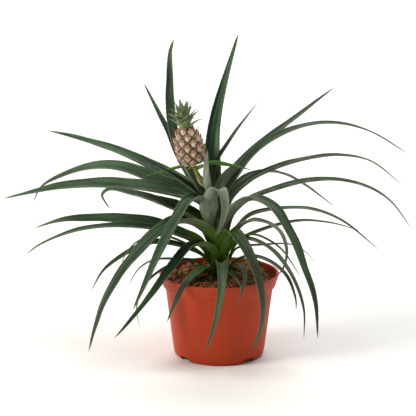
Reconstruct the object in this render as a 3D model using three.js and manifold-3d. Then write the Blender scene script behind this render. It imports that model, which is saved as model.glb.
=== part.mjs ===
// Potted pineapple plant: a leafy rosette with a young fruit, in a plastic nursery pot.
// Millimetres, +Z up. The origin is the centre of the pot's foot, on the floor. -Y is the front.
import * as THREE from "three";
import { mergeVertices } from "three/addons/utils/BufferGeometryUtils.js";
import Module from "manifold-3d";

const wasm = await Module();
wasm.setup();
const { Manifold, Mesh: SolidMesh } = wasm;

// ---------------------------------------------------------------- driving dimensions
const GAP = 0.3; // clearance between neighbouring pieces

const RIM_RADIUS = 60.6; // outside of the lip
const POT_SEGMENTS = 48;
// The pot's outside as [radius, height]: foot, chamfer, tapered body, ledge, flared collar, lip.
const POT_OUTSIDE = [
  [42.8, 0], [45.2, 1.8], [46.2, 6], [54.1, 69], [55, 71], [56.6, 72], [57.3, 74], [60.2, 83.2],
  [60.6, 84.4], [60.2, 85],
];
// The pot's inside, from the lip down to the floor plate.
const POT_INSIDE = [[58.4, 85], [57.9, 84.2], [55.9, 74.6], [52, 70], [44.2, 6], [42.6, 1.8]];
const NOTCHES = 4; // drainage cut-outs round the foot
const NOTCH_FIRST = 40; // degrees
const NOTCH_WIDTH = 13;
const NOTCH_HEIGHT = 5;
const NOTCH_INNER = 37; // the cut reaches in to this radius

// [radius, height]
const SOIL_TOP = [[55, 74.9], [55.9, 78.8], [44, 80], [33, 80.8], [22, 81], [12, 78.6]];
const SOIL_ROUGH = 1; // height of the lumps
const SOIL_SEGMENTS = 32;
const STEM_FOOT_Z = 60; // the stem stands this deep in a plain hole

const STEM_PROFILE = [[7.5, 60], [8.6, 78], [9.6, 88], [9.6, 122], [9, 140], [7, 156], [4.5, 165]];

const LEAF_EDGE = 0.6; // thickness at the margin
const LEAF_MIDDLE = 1.1; // thickness along the middle
const LEAF_TIP = 0.07; // width of the tip, as a share of the greatest width
const TAPER = [0.3, 1.6]; // share of the length where the taper starts, and its power
// Width of the clasping root as a share of the leaf's, and the length over which it widens.
const ROOT = [0.5, 30];
const TURN_LENGTH = 45; // from the root to where the leaf has come round to its heading
const GUTTER = [42, 26, 22]; // rise of the margins, in degrees, at the root, middle and tip

// Each leaf: its heading in degrees at the root, middle and tip (0 is +X, 90 is +Y), the arch as
// [reach from the stem axis, height] points, its greatest width, and its roll in degrees at the
// root, middle and tip. The youngest come first: each later leaf wraps round those before it.
// A leaf that folds over itself or swerves gives its path as [x, y, z] points, and az is then the way it
// faces. turn is how many degrees further round the stem the root sits, and gutter, root and taper stand in
// for the shared ones above on a leaf that has its own.
const LEAVES = [
  { name: "leaf_inner_fold", az: [-160, -142, -138], wide: 12.5, roll: [0, 20, 30], gutter: [50, 46, 40],
    arch: [[6, 154], [13, 172], [17.5, 190], [16, 213]] },
  { name: "leaf_back_right_up", az: [125, 94.5, 78], wide: 17.5, roll: [0, 0, 0], taper: [0.25, 0.85],
    arch: [[7, 150], [21, 184], [40, 220], [60, 251], [78, 283], [95, 313.5]] },
  { name: "leaf_back_left_up", az: [142, 141, 125], wide: 19.5, roll: [0, 0, 50], taper: [0.35, 0.8],
    path: [[-6, 5, 148], [-15.5, 6, 165], [-26, 13, 181], [-35.5, 19, 197], [-44, 27, 214],
      [-49, 37, 234], [-50.5, 48, 254], [-50.5, 60, 271], [-50.5, 70, 287], [-49.7, 79, 299],
      [-46.6, 88, 309]] },
  { name: "leaf_back_left_mid", az: [130, 127, 124], wide: 10, roll: [0, 0, 0],
    arch: [[9, 146], [28, 160], [63, 188], [90, 217], [122, 244], [141, 259]] },
  { name: "leaf_back_right_thin", az: [61, 61, 61], wide: 5, roll: [0, 0, 0],
    path: [[-4.2, 4.2, 158], [-6, 6.5, 178], [-4.2, 8.5, 193.5], [1, 12.5, 203.5], [6.5, 17, 211],
      [18, 34, 225], [32, 56.5, 239], [39, 67.5, 246]] },
  { name: "leaf_right_up", az: [42, 42, 41], wide: 12, roll: [0, 0, 0], turn: 70,
    arch: [[8, 152], [14, 178], [38, 198.8], [67, 213.3], [113, 234.2], [160, 256.3]] },
  { name: "leaf_right_high", az: [28, 21, 14], wide: 12, roll: [0, 0, 0], turn: 55,
    arch: [[8, 148], [18, 180], [38, 205], [66, 221.5], [98, 230.4], [129, 230.2], [160, 221.3],
      [198, 198]] },
  { name: "leaf_heart", az: [-100, -82, -87], wide: 19.8, roll: [0, 0, 0], gutter: [42, 20, 42],
    root: [0.2, 36], taper: [0.28, 0.6],
    path: [[-7, -8, 124], [-9.5, -10, 138], [-10.5, -12.5, 152], [-9, -14.5, 164.5], [-4, -18.5, 174],
      [1.6, -23.5, 175.6], [4.8, -26.6, 168.8], [5.4, -27.5, 158], [3.5, -28, 147], [-0.2, -28, 136],
      [-5.8, -28, 126.5]] },
  { name: "leaf_left_top", az: [147, 147, 148], wide: 16.5, roll: [0, 15, 20],
    arch: [[9, 147.5], [22, 164.3], [71, 181.3], [121, 195.8], [171, 204.3], [213, 209.3]] },
  { name: "leaf_left_stub", az: [182, 183, 184], wide: 13, roll: [0, 10, 10],
    arch: [[8, 146], [16, 161], [39, 181], [60, 193], [78, 200]] },
  { name: "leaf_front_left_high", az: [-158, -134, -134.5], wide: 15.5, roll: [0, 0, 0],
    path: [[-9.5, 1, 142], [-14, -4, 156.5], [-22, -14, 165.5], [-31, -30, 165.5], [-41.5, -42, 151],
      [-57, -58, 124], [-71.5, -73, 94], [-83, -84, 71]] },
  { name: "leaf_right_long", az: [15, 10, 5], wide: 12, roll: [0, 0, 0], turn: 25,
    arch: [[9, 141], [14, 161], [32, 179], [62, 192], [93, 199.6], [123, 202], [153, 196],
      [184, 172.5]] },
  { name: "leaf_left_upper", az: [158, 157, 157], wide: 19.5, roll: [0, 20, 20],
    arch: [[9, 144], [23, 160], [65, 173.3], [109, 184.3], [143, 182], [178, 169.6], [203, 154.5],
      [211.5, 139]] },
  { name: "leaf_back_right_low", az: [60, 50, 40], wide: 10, roll: [0, 0, 0],
    arch: [[9, 138], [20, 158], [43, 173], [80, 176.2], [104, 169.6], [131, 153], [161, 129]] },
  { name: "leaf_left_long", az: [178, 176, 174], wide: 19.5, roll: [0, 25, 25],
    arch: [[9, 138], [19, 158.5], [44, 166.5], [80, 172.7], [120, 174.3], [161, 170.3], [202, 160.5],
      [219, 156]] },
  { name: "leaf_right_mid", az: [-5, -2, 2], wide: 12, roll: [0, 0, 0],
    arch: [[8.5, 128], [13, 145], [20.5, 154.5], [31, 162.3], [60, 173.4], [90, 180.5], [120, 181],
      [150, 172.5], [171, 158.5], [193, 130]] },
  { name: "leaf_front_right_arch", az: [-30, -35, -40], wide: 16, roll: [0, 0, 0], turn: -38,
    arch: [[9.5, 126], [14, 148], [26, 161], [41, 167], [63, 160], [85, 136], [102, 107], [117.5, 75],
      [124, 41]] },
  { name: "leaf_back_a", az: [98, 98, 97], wide: 15, roll: [0, 0, 0],
    arch: [[10, 128], [18, 146], [45, 164], [85, 165], [125, 145], [158, 105]] },
  { name: "leaf_left_curl", az: [-176, -168, -165], wide: 29, roll: [0, 15, 0], taper: [0.12, 0.85],
    arch: [[10, 119], [16, 133.5], [26, 144], [60, 161], [90, 171.5], [112, 176.5], [118.5, 171.5],
      [116, 164.5], [111.5, 158]] },
  { name: "leaf_front_right_hook", az: [-30, -43.5, -59], wide: 14, roll: [0, 0, 0], turn: -50,
    taper: [0.15, 0.65],
    arch: [[9.8, 96], [12.5, 113], [20, 130], [30, 140], [44, 146], [73, 147], [94, 141], [108, 127.3],
      [109, 113.5], [103, 104.5]] },
  { name: "leaf_front_right_big", az: [-76, -54, -71], wide: 14.5, roll: [0, 0, 0], turn: -10,
    taper: [0.25, 1],
    arch: [[10, 112], [16, 129], [28, 134], [41, 125], [55, 108], [72, 79], [83, 57], [95, 31]] },
  { name: "leaf_right_low_long", az: [-12, -15, -18], wide: 9, roll: [0, 0, 0],
    arch: [[10, 113], [17, 131.5], [31, 146], [62, 155], [92, 156.5], [123, 148.2], [163, 121.7]] },
  { name: "leaf_front_left_big", az: [-155, -152, -148], wide: 21.5, roll: [0, 0, 0], turn: 45,
    arch: [[9.8, 110], [15, 127], [28, 140], [46, 144], [66, 135.7], [88, 118.7], [110.5, 98],
      [130, 71.5], [141, 49.5], [149.5, 27.5]] },
  { name: "leaf_left_low_long", az: [174, 170, 167], wide: 17, roll: [0, 25, 25],
    arch: [[10, 100], [18, 115.5], [39, 124], [70, 133.2], [100, 135.8], [131, 134.5], [163, 131.2],
      [195, 120]] },
  { name: "leaf_back_b", az: [82, 86, 88], wide: 14, roll: [0, 0, 0],
    arch: [[10, 106], [18, 124], [45, 140], [85, 139], [120, 117], [148, 80]] },
  { name: "leaf_left_low_dark", az: [-172, -170, -168], wide: 12, roll: [0, 10, 10],
    arch: [[10, 100], [20, 114.7], [54, 130.5], [90, 137], [120, 138], [150, 133.8], [180, 123],
      [194, 114]] },
  { name: "leaf_front_right_low", az: [-42, -45, -48], wide: 6.5, roll: [0, 0, 0],
    arch: [[10, 106], [18, 120], [35, 126.3], [61, 124.8], [80, 117], [103, 97.5], [118, 72],
      [121, 44]] },
  { name: "leaf_front_right_wisp", az: [-36, -46.5, -50.5], wide: 4, roll: [0, 0, 0],
    arch: [[10, 105], [25, 125], [45, 132], [64, 132.2], [93, 125.6], [121, 106]] },
  { name: "leaf_left_wisp", az: [-158, -161, -155], wide: 4.6, roll: [0, 0, 0],
    arch: [[10, 100], [30, 115], [61, 128], [85, 125], [98.5, 115], [103.5, 107], [104.5, 98]] },
  { name: "leaf_left_low_arch", az: [-168, -164, -160], wide: 10, roll: [0, 15, 0],
    arch: [[10, 97], [20, 106], [45, 117], [71, 120.7], [93, 113.6], [120.5, 97.2], [134.5, 77.5]] },
  { name: "leaf_right_wisp_high", az: [12, 10, 8], wide: 7, roll: [0, 0, 0],
    arch: [[10, 100], [20, 116.5], [47, 128], [83, 135], [114, 132], [145, 123]] },
  { name: "leaf_front_left_low", az: [-140, -142, -145], wide: 13.5, roll: [0, 0, 0], turn: 45,
    arch: [[9.8, 92], [15, 109], [25, 119.3], [38, 118.3], [59, 100.7], [85, 74.7], [110, 50.7],
      [125, 38]] },
  { name: "leaf_right_wisp_low", az: [20, 10, 0], wide: 4.6, roll: [0, 0, 0],
    arch: [[10, 94], [18, 108], [45, 111.3], [75, 111.4], [90, 102.5], [97, 94]] },
  { name: "leaf_back_c", az: [96, 91, 88], wide: 11, roll: [0, 0, 0],
    arch: [[10, 92], [18, 106], [42, 118], [75, 112], [105, 90], [130, 55]] },
  { name: "leaf_left_dry_over", az: [-172, -164, -155], wide: 5.8, roll: [0, 0, 0],
    arch: [[10, 84], [22, 97], [41, 101], [67, 103.4], [84, 98], [99, 82.5]] },
  { name: "leaf_left_dry_drop", az: [-157, -154, -150], wide: 5, roll: [0, 0, 0],
    arch: [[10, 84], [20, 96], [36, 101], [60, 96.5], [84, 81], [93, 60], [91, 42]] },
  { name: "leaf_front_right_rim", az: [-38, -44, -50], wide: 7.5, roll: [0, 0, 0],
    arch: [[10, 84], [20, 100], [40, 109], [68, 109.2], [95, 99.7], [111, 81.5], [114, 71.5]] },
  { name: "leaf_front_centre", az: [-86, -88, -100], wide: 12, roll: [0, 0, 0], taper: [0.2, 1],
    arch: [[10, 83], [14, 96], [22, 103], [40, 100], [63, 90], [72, 72], [79, 48], [85, 26]] },
  { name: "leaf_front_left_rim", az: [-118, -122, -128], wide: 10, roll: [0, 0, 0],
    arch: [[10, 82], [19, 93.5], [32, 97], [48, 93.3], [62, 87.4], [73.5, 72.5], [83, 53]] },
  { name: "leaf_front_right_curl", az: [-50, -60, -79], wide: 4.8, roll: [0, 0, 0],
    arch: [[10, 82], [22, 95.5], [40, 102], [54, 98.5], [63.5, 88], [70, 78], [72, 68]] },
  { name: "leaf_front_right_dry", az: [-70, -71, -71], wide: 4.8, roll: [0, 0, 0],
    arch: [[10, 82.5], [22, 91.5], [38, 92], [53, 90.3], [62.8, 87.5], [67, 81.5]] },
  { name: "leaf_pot_left", az: [-166, -163, -161], wide: 5, roll: [0, 0, 0],
    arch: [[10, 83], [18, 92], [33, 93.5], [43, 90.3], [50, 84.5]] },
  { name: "leaf_pot_right", az: [12, 6, 0], wide: 4, roll: [0, 0, 0],
    arch: [[10, 82], [19, 94.5], [34, 97.2], [44.5, 93.5], [50.5, 86]] },
];

const STALK_RADIUS = 1.9;
const STALK_PATH = [
  [-2, 0, 158], [-6, 0, 166], [-13, 0, 174], [-19.5, -0.6, 181.5], [-22.9, -1, 187.4],
  [-24.5, -1, 192.7], [-25.2, -1, 196.2],
];
// Thin bracts on the stalk: the path, and the width at the root.
const BRACTS = [
  { wide: 5, path: [[-24, -1, 190.5], [-28.5, 6.5, 192.6], [-37, 10.5, 191.4], [-50, 11.5, 188],
    [-64, 11, 184], [-77, 10, 180.5]] },
  { wide: 7, path: [[-24, -1, 190.5], [-17, 5, 193], [-9, 8, 195.4], [1, 8, 194.8], [15.7, 7.5, 192.4],
    [33, 6.5, 188.6]] },
  { wide: 3.2, path: [[-24.2, -1, 192], [-27.6, -5, 194], [-31.4, -7, 191.6], [-35.5, -8.5, 188.2]] },
];

const FRUIT_BASE = [-25.3, -1, 196.6];
const FRUIT_LEAN = -14; // degrees, towards -X
const FRUIT_PROFILE = [
  [0, 0], [6.8, 0.3], [10.5, 3.2], [12.1, 8], [12.6, 16], [12.1, 23.5], [10.2, 30], [6.8, 34.8], [2.8, 37.1],
  [0, 37.6],
];
const EYES = 43;
const EYE_LOWEST = 2.4; // height of the first eye's middle
const EYE_HIGHEST = 35;
const GOLDEN_ANGLE = 137.508; // degrees from one eye or crown leaf to the next
const EYE_RADIUS = 3.9;
const EYE_RISE = 1.7;
const EYE_TIP = 4; // length of the pointed bract on each eye

const CROWN_LEAVES = 21;
const CROWN_LEAF_WIDTH = 6.4;
// Of the crown's lowest and highest leaf: reach from the axis, rise along the leaf, and height of the root.
const CROWN_REACH = [17, 7];
const CROWN_RISE = [7, 13];
const CROWN_ROOT = [2, 15];
const CROWN_FOOT = 37.9; // height on the fruit's axis
const CROWN_LEAN = -5; // degrees, towards -X

// ---------------------------------------------------------------- helpers
const { degToRad: radians, radToDeg: degrees, lerp, smoothstep, clamp } = THREE.MathUtils;
const vec = (p) => new THREE.Vector3(p[0], p[1], p[2]);

// A value given at the start, middle and end, followed smoothly at share s.
function along([a, b, c], s) {
  return a * (1 - s) * (1 - 2 * s) + b * 4 * s * (1 - s) + c * s * (2 * s - 1);
}

// Repeatable noise between -1 and 1.
let seed = 7;
function noise() {
  seed = (seed * 16807) % 2147483647;
  return (seed / 2147483647) * 2 - 1;
}

function toSolid(geometry) {
  const plain = geometry.clone();
  plain.deleteAttribute("normal");
  plain.deleteAttribute("uv");
  const merged = mergeVertices(plain, 1e-4);
  return new Manifold(new SolidMesh({
    numProp: 3,
    vertProperties: new Float32Array(merged.attributes.position.array),
    triVerts: new Uint32Array(merged.index.array),
  }));
}

function toGeometry(solid) {
  const mesh = solid.getMesh();
  const geometry = new THREE.BufferGeometry();
  geometry.setAttribute("position", new THREE.BufferAttribute(new Float32Array(mesh.vertProperties), 3));
  geometry.setIndex(new THREE.BufferAttribute(new Uint32Array(mesh.triVerts), 1));
  geometry.computeVertexNormals();
  return geometry;
}

function fromFaces(points, faces) {
  const geometry = new THREE.BufferGeometry();
  const flat = points.flatMap((p) => [p.x, p.y, p.z]);
  geometry.setAttribute("position", new THREE.Float32BufferAttribute(flat, 3));
  geometry.setIndex(faces.flat());
  return toSolid(geometry);
}

// A body of revolution about Z from [radius, height] points.
function lathe(profile, segments) {
  const geometry = new THREE.LatheGeometry(profile.map(([r, z]) => new THREE.Vector2(r, z)), segments);
  geometry.rotateX(Math.PI / 2);
  return toSolid(geometry);
}

// A strap with six points to a ring: margin, middle, margin on the upper face, and the same below.
function strap(rings) {
  const faces = [[0, 1, 4], [0, 4, 5], [1, 2, 3], [1, 3, 4]];
  for (let i = 0; i + 1 < rings.length; i++) {
    for (let j = 0; j < 6; j++) {
      const a = 6 * i + j;
      const b = 6 * i + ((j + 1) % 6);
      if (j < 3) faces.push([a, a + 6, b + 6], [a, b + 6, b]);
      else faces.push([a, a + 6, b], [b, a + 6, b + 6]);
    }
  }
  const last = 6 * (rings.length - 1);
  faces.push([last, last + 4, last + 1], [last, last + 5, last + 4]);
  faces.push([last + 1, last + 3, last + 2], [last + 1, last + 4, last + 3]);
  return fromFaces(rings.flat(), faces);
}

function strapRing(centre, side, up, half, rise, edge, middle) {
  const at = (s, n) => centre.clone().addScaledVector(side, s).addScaledVector(up, n);
  return [
    at(-half, (rise + edge) / 2), at(0, (middle - rise) / 2), at(half, (rise + edge) / 2),
    at(half, (rise - edge) / 2), at(0, (-middle - rise) / 2), at(-half, (rise - edge) / 2),
  ];
}

// ---------------------------------------------------------------- leaves
function leafWidth(wide, [share, widening], [start, power], s, length) {
  const taper = s <= start ? 0.86 + 0.14 * (s / start)
    : 1 - (1 - LEAF_TIP) * ((s - start) / (1 - start)) ** power;
  return wide * taper * lerp(share, 1, smoothstep(s * length, 0, widening));
}

// The leaf as a solid. With grow it stands that much proud all round, which is how room is made for it.
function leafSolid(leaf, grow = 0) {
  const { az, arch, path, wide, roll, turn = 0, gutter = GUTTER, root = ROOT, taper = TAPER } = leaf;
  const knots = path ? path.map(vec) : arch.map(([r, z]) => new THREE.Vector3(r, 0, z));
  const curve = new THREE.CatmullRomCurve3(knots, false, "centripetal");
  curve.arcLengthDivisions = 400;
  const length = curve.getLength();
  const headingAt = (s) => radians(along(az, s) + turn * (1 - smoothstep(s * length, 0, TURN_LENGTH)));
  const place = (s) => {
    const p = curve.getPointAt(clamp(s, 0, 1));
    const heading = path ? 0 : headingAt(s);
    return new THREE.Vector3(p.x * Math.cos(heading) - p.y * Math.sin(heading),
      p.x * Math.sin(heading) + p.y * Math.cos(heading), p.z);
  };
  const steps = Math.max(6, Math.min(10, Math.round(length / 19) + 3));
  const rings = [];
  for (let i = 0; i <= steps; i++) {
    const s = i / steps;
    const tangent = place(s + 0.01).sub(place(s - 0.01)).normalize();
    const heading = headingAt(s);
    const side = new THREE.Vector3(-Math.sin(heading), Math.cos(heading), 0);
    side.addScaledVector(tangent, -side.dot(tangent)).normalize();
    const up = new THREE.Vector3().crossVectors(tangent, side);
    const tilt = radians(along(roll, s));
    const rolledUp = up.clone().multiplyScalar(Math.cos(tilt)).addScaledVector(side, Math.sin(tilt));
    const rolledSide = side.clone().multiplyScalar(Math.cos(tilt)).addScaledVector(up, -Math.sin(tilt));
    const half = leafWidth(wide, root, taper, s, length) / 2 + grow;
    const rise = half * Math.tan(radians(along(gutter, s)));
    const middle = lerp(LEAF_MIDDLE, 0.8, s) + 2 * grow;
    const end = i === 0 ? -grow : i === steps ? grow : 0;
    rings.push(strapRing(place(s).addScaledVector(tangent, end), rolledSide, rolledUp, half, rise,
      LEAF_EDGE + 2 * grow, middle));
  }
  return strap(rings);
}

function overlaps(a, b) {
  const [p, q] = [a.boundingBox(), b.boundingBox()];
  return [0, 1, 2].every((k) => p.min[k] <= q.max[k] && q.min[k] <= p.max[k]);
}

function largest(solid) {
  return solid.decompose().reduce((best, part) => (part.volume() > best.volume() ? part : best));
}

// Cuts a leaf back where it meets what was placed before it, leaving the clearance.
function fitLeaf(solid, room) {
  for (const taken of room) if (overlaps(solid, taken)) solid = solid.subtract(taken);
  return largest(solid.simplify(0.02));
}

// ---------------------------------------------------------------- pot and soil
function potSolid() {
  const profile = [[0, 0], ...POT_OUTSIDE, ...POT_INSIDE, [0, 1.8]];
  let pot = lathe(profile, POT_SEGMENTS);
  for (let i = 0; i < NOTCHES; i++) {
    const depth = RIM_RADIUS - NOTCH_INNER;
    const cut = Manifold.cube([depth, NOTCH_WIDTH, NOTCH_HEIGHT + 2], false)
      .translate([NOTCH_INNER, -NOTCH_WIDTH / 2, -2])
      .rotate([0, 0, NOTCH_FIRST + (360 / NOTCHES) * i]);
    pot = pot.subtract(cut);
  }
  return pot;
}

function soilSolid() {
  const inside = POT_INSIDE.slice(3).map(([r, z]) => [r - GAP, z + GAP]);
  const hole = STEM_PROFILE[1][0] + GAP;
  const profile = [[0, POT_INSIDE.at(-1)[1] + GAP], ...inside.reverse(), ...SOIL_TOP,
    [hole, 78.6], [hole, STEM_FOOT_Z - GAP], [0, STEM_FOOT_Z - GAP]];
  const outline = profile.map(([r, z]) => new THREE.Vector2(r, z));
  const geometry = new THREE.LatheGeometry(outline, SOIL_SEGMENTS);
  geometry.rotateX(Math.PI / 2);
  const plain = mergeVertices(bare(geometry), 1e-4);
  const at = plain.attributes.position;
  for (let i = 0; i < at.count; i++) {
    const radius = Math.hypot(at.getX(i), at.getY(i));
    if (at.getZ(i) > 74 && radius > 10 && radius < 50) at.setZ(i, at.getZ(i) + SOIL_ROUGH * noise());
  }
  return toSolid(plain);
}

function bare(geometry) {
  geometry.deleteAttribute("normal");
  geometry.deleteAttribute("uv");
  return geometry;
}

// ---------------------------------------------------------------- stalk, fruit and crown
function bractSolid({ path, wide }) {
  const curve = new THREE.CatmullRomCurve3(path.map(vec), false, "centripetal");
  const steps = 6;
  const rings = [];
  for (let i = 0; i <= steps; i++) {
    const s = i / steps;
    const tangent = curve.getTangentAt(s);
    const side = new THREE.Vector3(0, 0, 1).cross(tangent).normalize();
    const up = new THREE.Vector3().crossVectors(tangent, side);
    const half = (wide / 2) * (1 - 0.75 * s ** 1.5);
    rings.push(strapRing(curve.getPointAt(s), side, up, half, half * 0.4, 0.6, 0.8));
  }
  return strap(rings);
}

function stalkSolid() {
  const curve = new THREE.CatmullRomCurve3(STALK_PATH.map(vec));
  const ring = new THREE.Shape().absarc(0, 0, STALK_RADIUS, 0, 2 * Math.PI);
  const tube = new THREE.ExtrudeGeometry(ring, { steps: 7, extrudePath: curve, curveSegments: 5 });
  return BRACTS.reduce((solid, bract) => solid.add(bractSolid(bract)), toSolid(tube));
}

// The fruit's radius and slope at a height on its axis.
function fruitSurface(height) {
  const i = Math.max(1, FRUIT_PROFILE.findIndex(([, z]) => z >= height));
  const [[r0, z0], [r1, z1]] = [FRUIT_PROFILE[i - 1], FRUIT_PROFILE[i]];
  const share = (height - z0) / (z1 - z0);
  return { radius: r0 + (r1 - r0) * share, slope: Math.atan2(r0 - r1, z1 - z0) };
}

function eyeSolid(index) {
  const share = (index + 0.5) / EYES;
  const height = lerp(EYE_LOWEST, EYE_HIGHEST, share);
  const { radius, slope } = fruitSurface(height);
  const size = EYE_RADIUS * (1 - 0.3 * Math.abs(2 * share - 1) ** 2);
  const cone = Manifold.cylinder(EYE_RISE + 2, size, size * 0.55, 6).translate([0, 0, -2]);
  // The bract grows from the eye's middle and points up the fruit.
  const tip = Manifold.cylinder(EYE_TIP + 1, 1.4, 0.5, 3).translate([0, 0, -1]).rotate([-48, 0, 0])
    .translate([0, -0.5, EYE_RISE * 0.7]);
  return cone.add(tip).rotate([90 - degrees(slope), 0, 0])
    .translate([0, -radius, height]).rotate([0, 0, -index * GOLDEN_ANGLE]);
}

function fruitSolid() {
  const eyes = Array.from({ length: EYES }, (_, i) => eyeSolid(i));
  return Manifold.union([lathe(FRUIT_PROFILE, 14), ...eyes]).simplify(0.02);
}

function crownLeaf(index) {
  const share = index / (CROWN_LEAVES - 1); // 0 is the lowest and outermost
  const [reach, rise, foot] = [CROWN_REACH, CROWN_RISE, CROWN_ROOT].map(([a, b]) => lerp(a, b, share));
  const rings = [];
  for (let i = 0; i <= 3; i++) {
    const s = i / 3;
    const out = 1.5 + (reach - 1.5) * s ** 1.25;
    const half = (CROWN_LEAF_WIDTH / 2) * (1 - 0.3 * share) * [0.9, 1, 0.7, 0.16][i];
    const centre = new THREE.Vector3(out, 0, foot + rise * s ** 0.8);
    const lean = Math.atan2(rise, reach - 1.5);
    const up = new THREE.Vector3(-Math.sin(lean), 0, Math.cos(lean));
    rings.push(strapRing(centre, new THREE.Vector3(0, 1, 0), up, half, half * 0.5, 0.6, 0.9));
  }
  return strap(rings).rotate([0, 0, index * GOLDEN_ANGLE]);
}

function crownSolid() {
  const core = lathe([[0, 0], [1.6, 0], [3.8, 1], [4.4, 3], [3.4, 12], [0, 18]], 10);
  const leaves = Array.from({ length: CROWN_LEAVES }, (_, i) => crownLeaf(i));
  return Manifold.union([core, ...leaves]).simplify(0.02);
}

// ---------------------------------------------------------------- materials
function surface(name, color, roughness) {
  const material = new THREE.MeshStandardMaterial({ color, roughness, metalness: 0 });
  material.name = name;
  return material;
}
const POT_PLASTIC = surface("pot", 0xb2492c, 0.45);
const SOIL = surface("soil", 0x3a241a, 0.95);
const STEM = surface("stem", 0x55692c, 0.6);
const LEAF = surface("leaf", 0x48594a, 0.5);
const STALK = surface("stalk", 0x7c9442, 0.55);
const FRUIT = surface("fruit", 0xb98f74, 0.6);
const CROWN = surface("crown", 0x6d7d5a, 0.55);

// ---------------------------------------------------------------- assembly
const plant = new THREE.Group();
plant.name = "potted_pineapple_plant";

function addMesh(name, solid, material, parent = plant) {
  const mesh = new THREE.Mesh(toGeometry(solid), material);
  mesh.name = name;
  parent.add(mesh);
  return mesh;
}

const pot = potSolid();
const soil = soilSolid();
const stem = lathe([[0, STEM_FOOT_Z], ...STEM_PROFILE, [0, STEM_PROFILE.at(-1)[1]]], 20);
const grown = lathe([[0, STEM_FOOT_Z], ...STEM_PROFILE.map(([r, z]) => [r + GAP, z]),
  [0, STEM_PROFILE.at(-1)[1] + GAP]], 20);

addMesh("pot", pot, POT_PLASTIC);
addMesh("soil", soil, SOIL);
addMesh("stem", stem, STEM);

const stalk = stalkSolid().subtract(grown);
addMesh("fruit_stalk", largest(stalk), STALK);

const fruitGroup = new THREE.Group();
fruitGroup.position.set(...FRUIT_BASE);
fruitGroup.rotation.y = radians(FRUIT_LEAN);
plant.add(fruitGroup);
addMesh("fruit", fruitSolid(), FRUIT, fruitGroup);
const crown = addMesh("fruit_crown", crownSolid(), CROWN, fruitGroup);
crown.position.z = CROWN_FOOT;
crown.rotation.y = radians(CROWN_LEAN - FRUIT_LEAN);

const room = [grown, stalk];
for (const leaf of LEAVES) {
  addMesh(leaf.name, fitLeaf(leafSolid(leaf), room), LEAF);
  room.push(leafSolid(leaf, GAP));
}

export default plant;
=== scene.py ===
"""A young ornamental pineapple plant in a terracotta-coloured nursery pot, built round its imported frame."""

import math

import bmesh
import bpy
import numpy as np
from bpy.props import FloatProperty, FloatVectorProperty, IntProperty, PointerProperty
from mathutils import Matrix, Vector, noise


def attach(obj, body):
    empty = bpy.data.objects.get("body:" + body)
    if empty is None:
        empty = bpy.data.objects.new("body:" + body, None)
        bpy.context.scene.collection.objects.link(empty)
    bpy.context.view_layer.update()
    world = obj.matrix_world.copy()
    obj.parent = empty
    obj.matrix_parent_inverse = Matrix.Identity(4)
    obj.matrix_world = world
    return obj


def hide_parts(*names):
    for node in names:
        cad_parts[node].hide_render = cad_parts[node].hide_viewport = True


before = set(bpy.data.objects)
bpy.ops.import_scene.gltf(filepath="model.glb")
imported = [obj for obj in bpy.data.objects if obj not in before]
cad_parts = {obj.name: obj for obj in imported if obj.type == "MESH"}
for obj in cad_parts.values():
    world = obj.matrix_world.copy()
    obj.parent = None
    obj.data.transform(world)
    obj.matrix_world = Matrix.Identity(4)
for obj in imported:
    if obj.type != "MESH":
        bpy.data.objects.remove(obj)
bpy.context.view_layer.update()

bl_info = {
    "name": "Potted pineapple plant",
    "version": (1, 0, 0),
    "blender": (4, 5, 0),
    "location": "View3D > Sidebar > Plant",
    "description": "Builds a young potted pineapple plant, its fruit and a small studio round the packed frame",
    "category": "Add Mesh",
}

MM = 0.001  # every shape below is worked out in millimetres and scaled once, when its mesh is made
GOLDEN_ANGLE = math.radians(137.508)  # from one eye or crown leaf to the next

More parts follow.
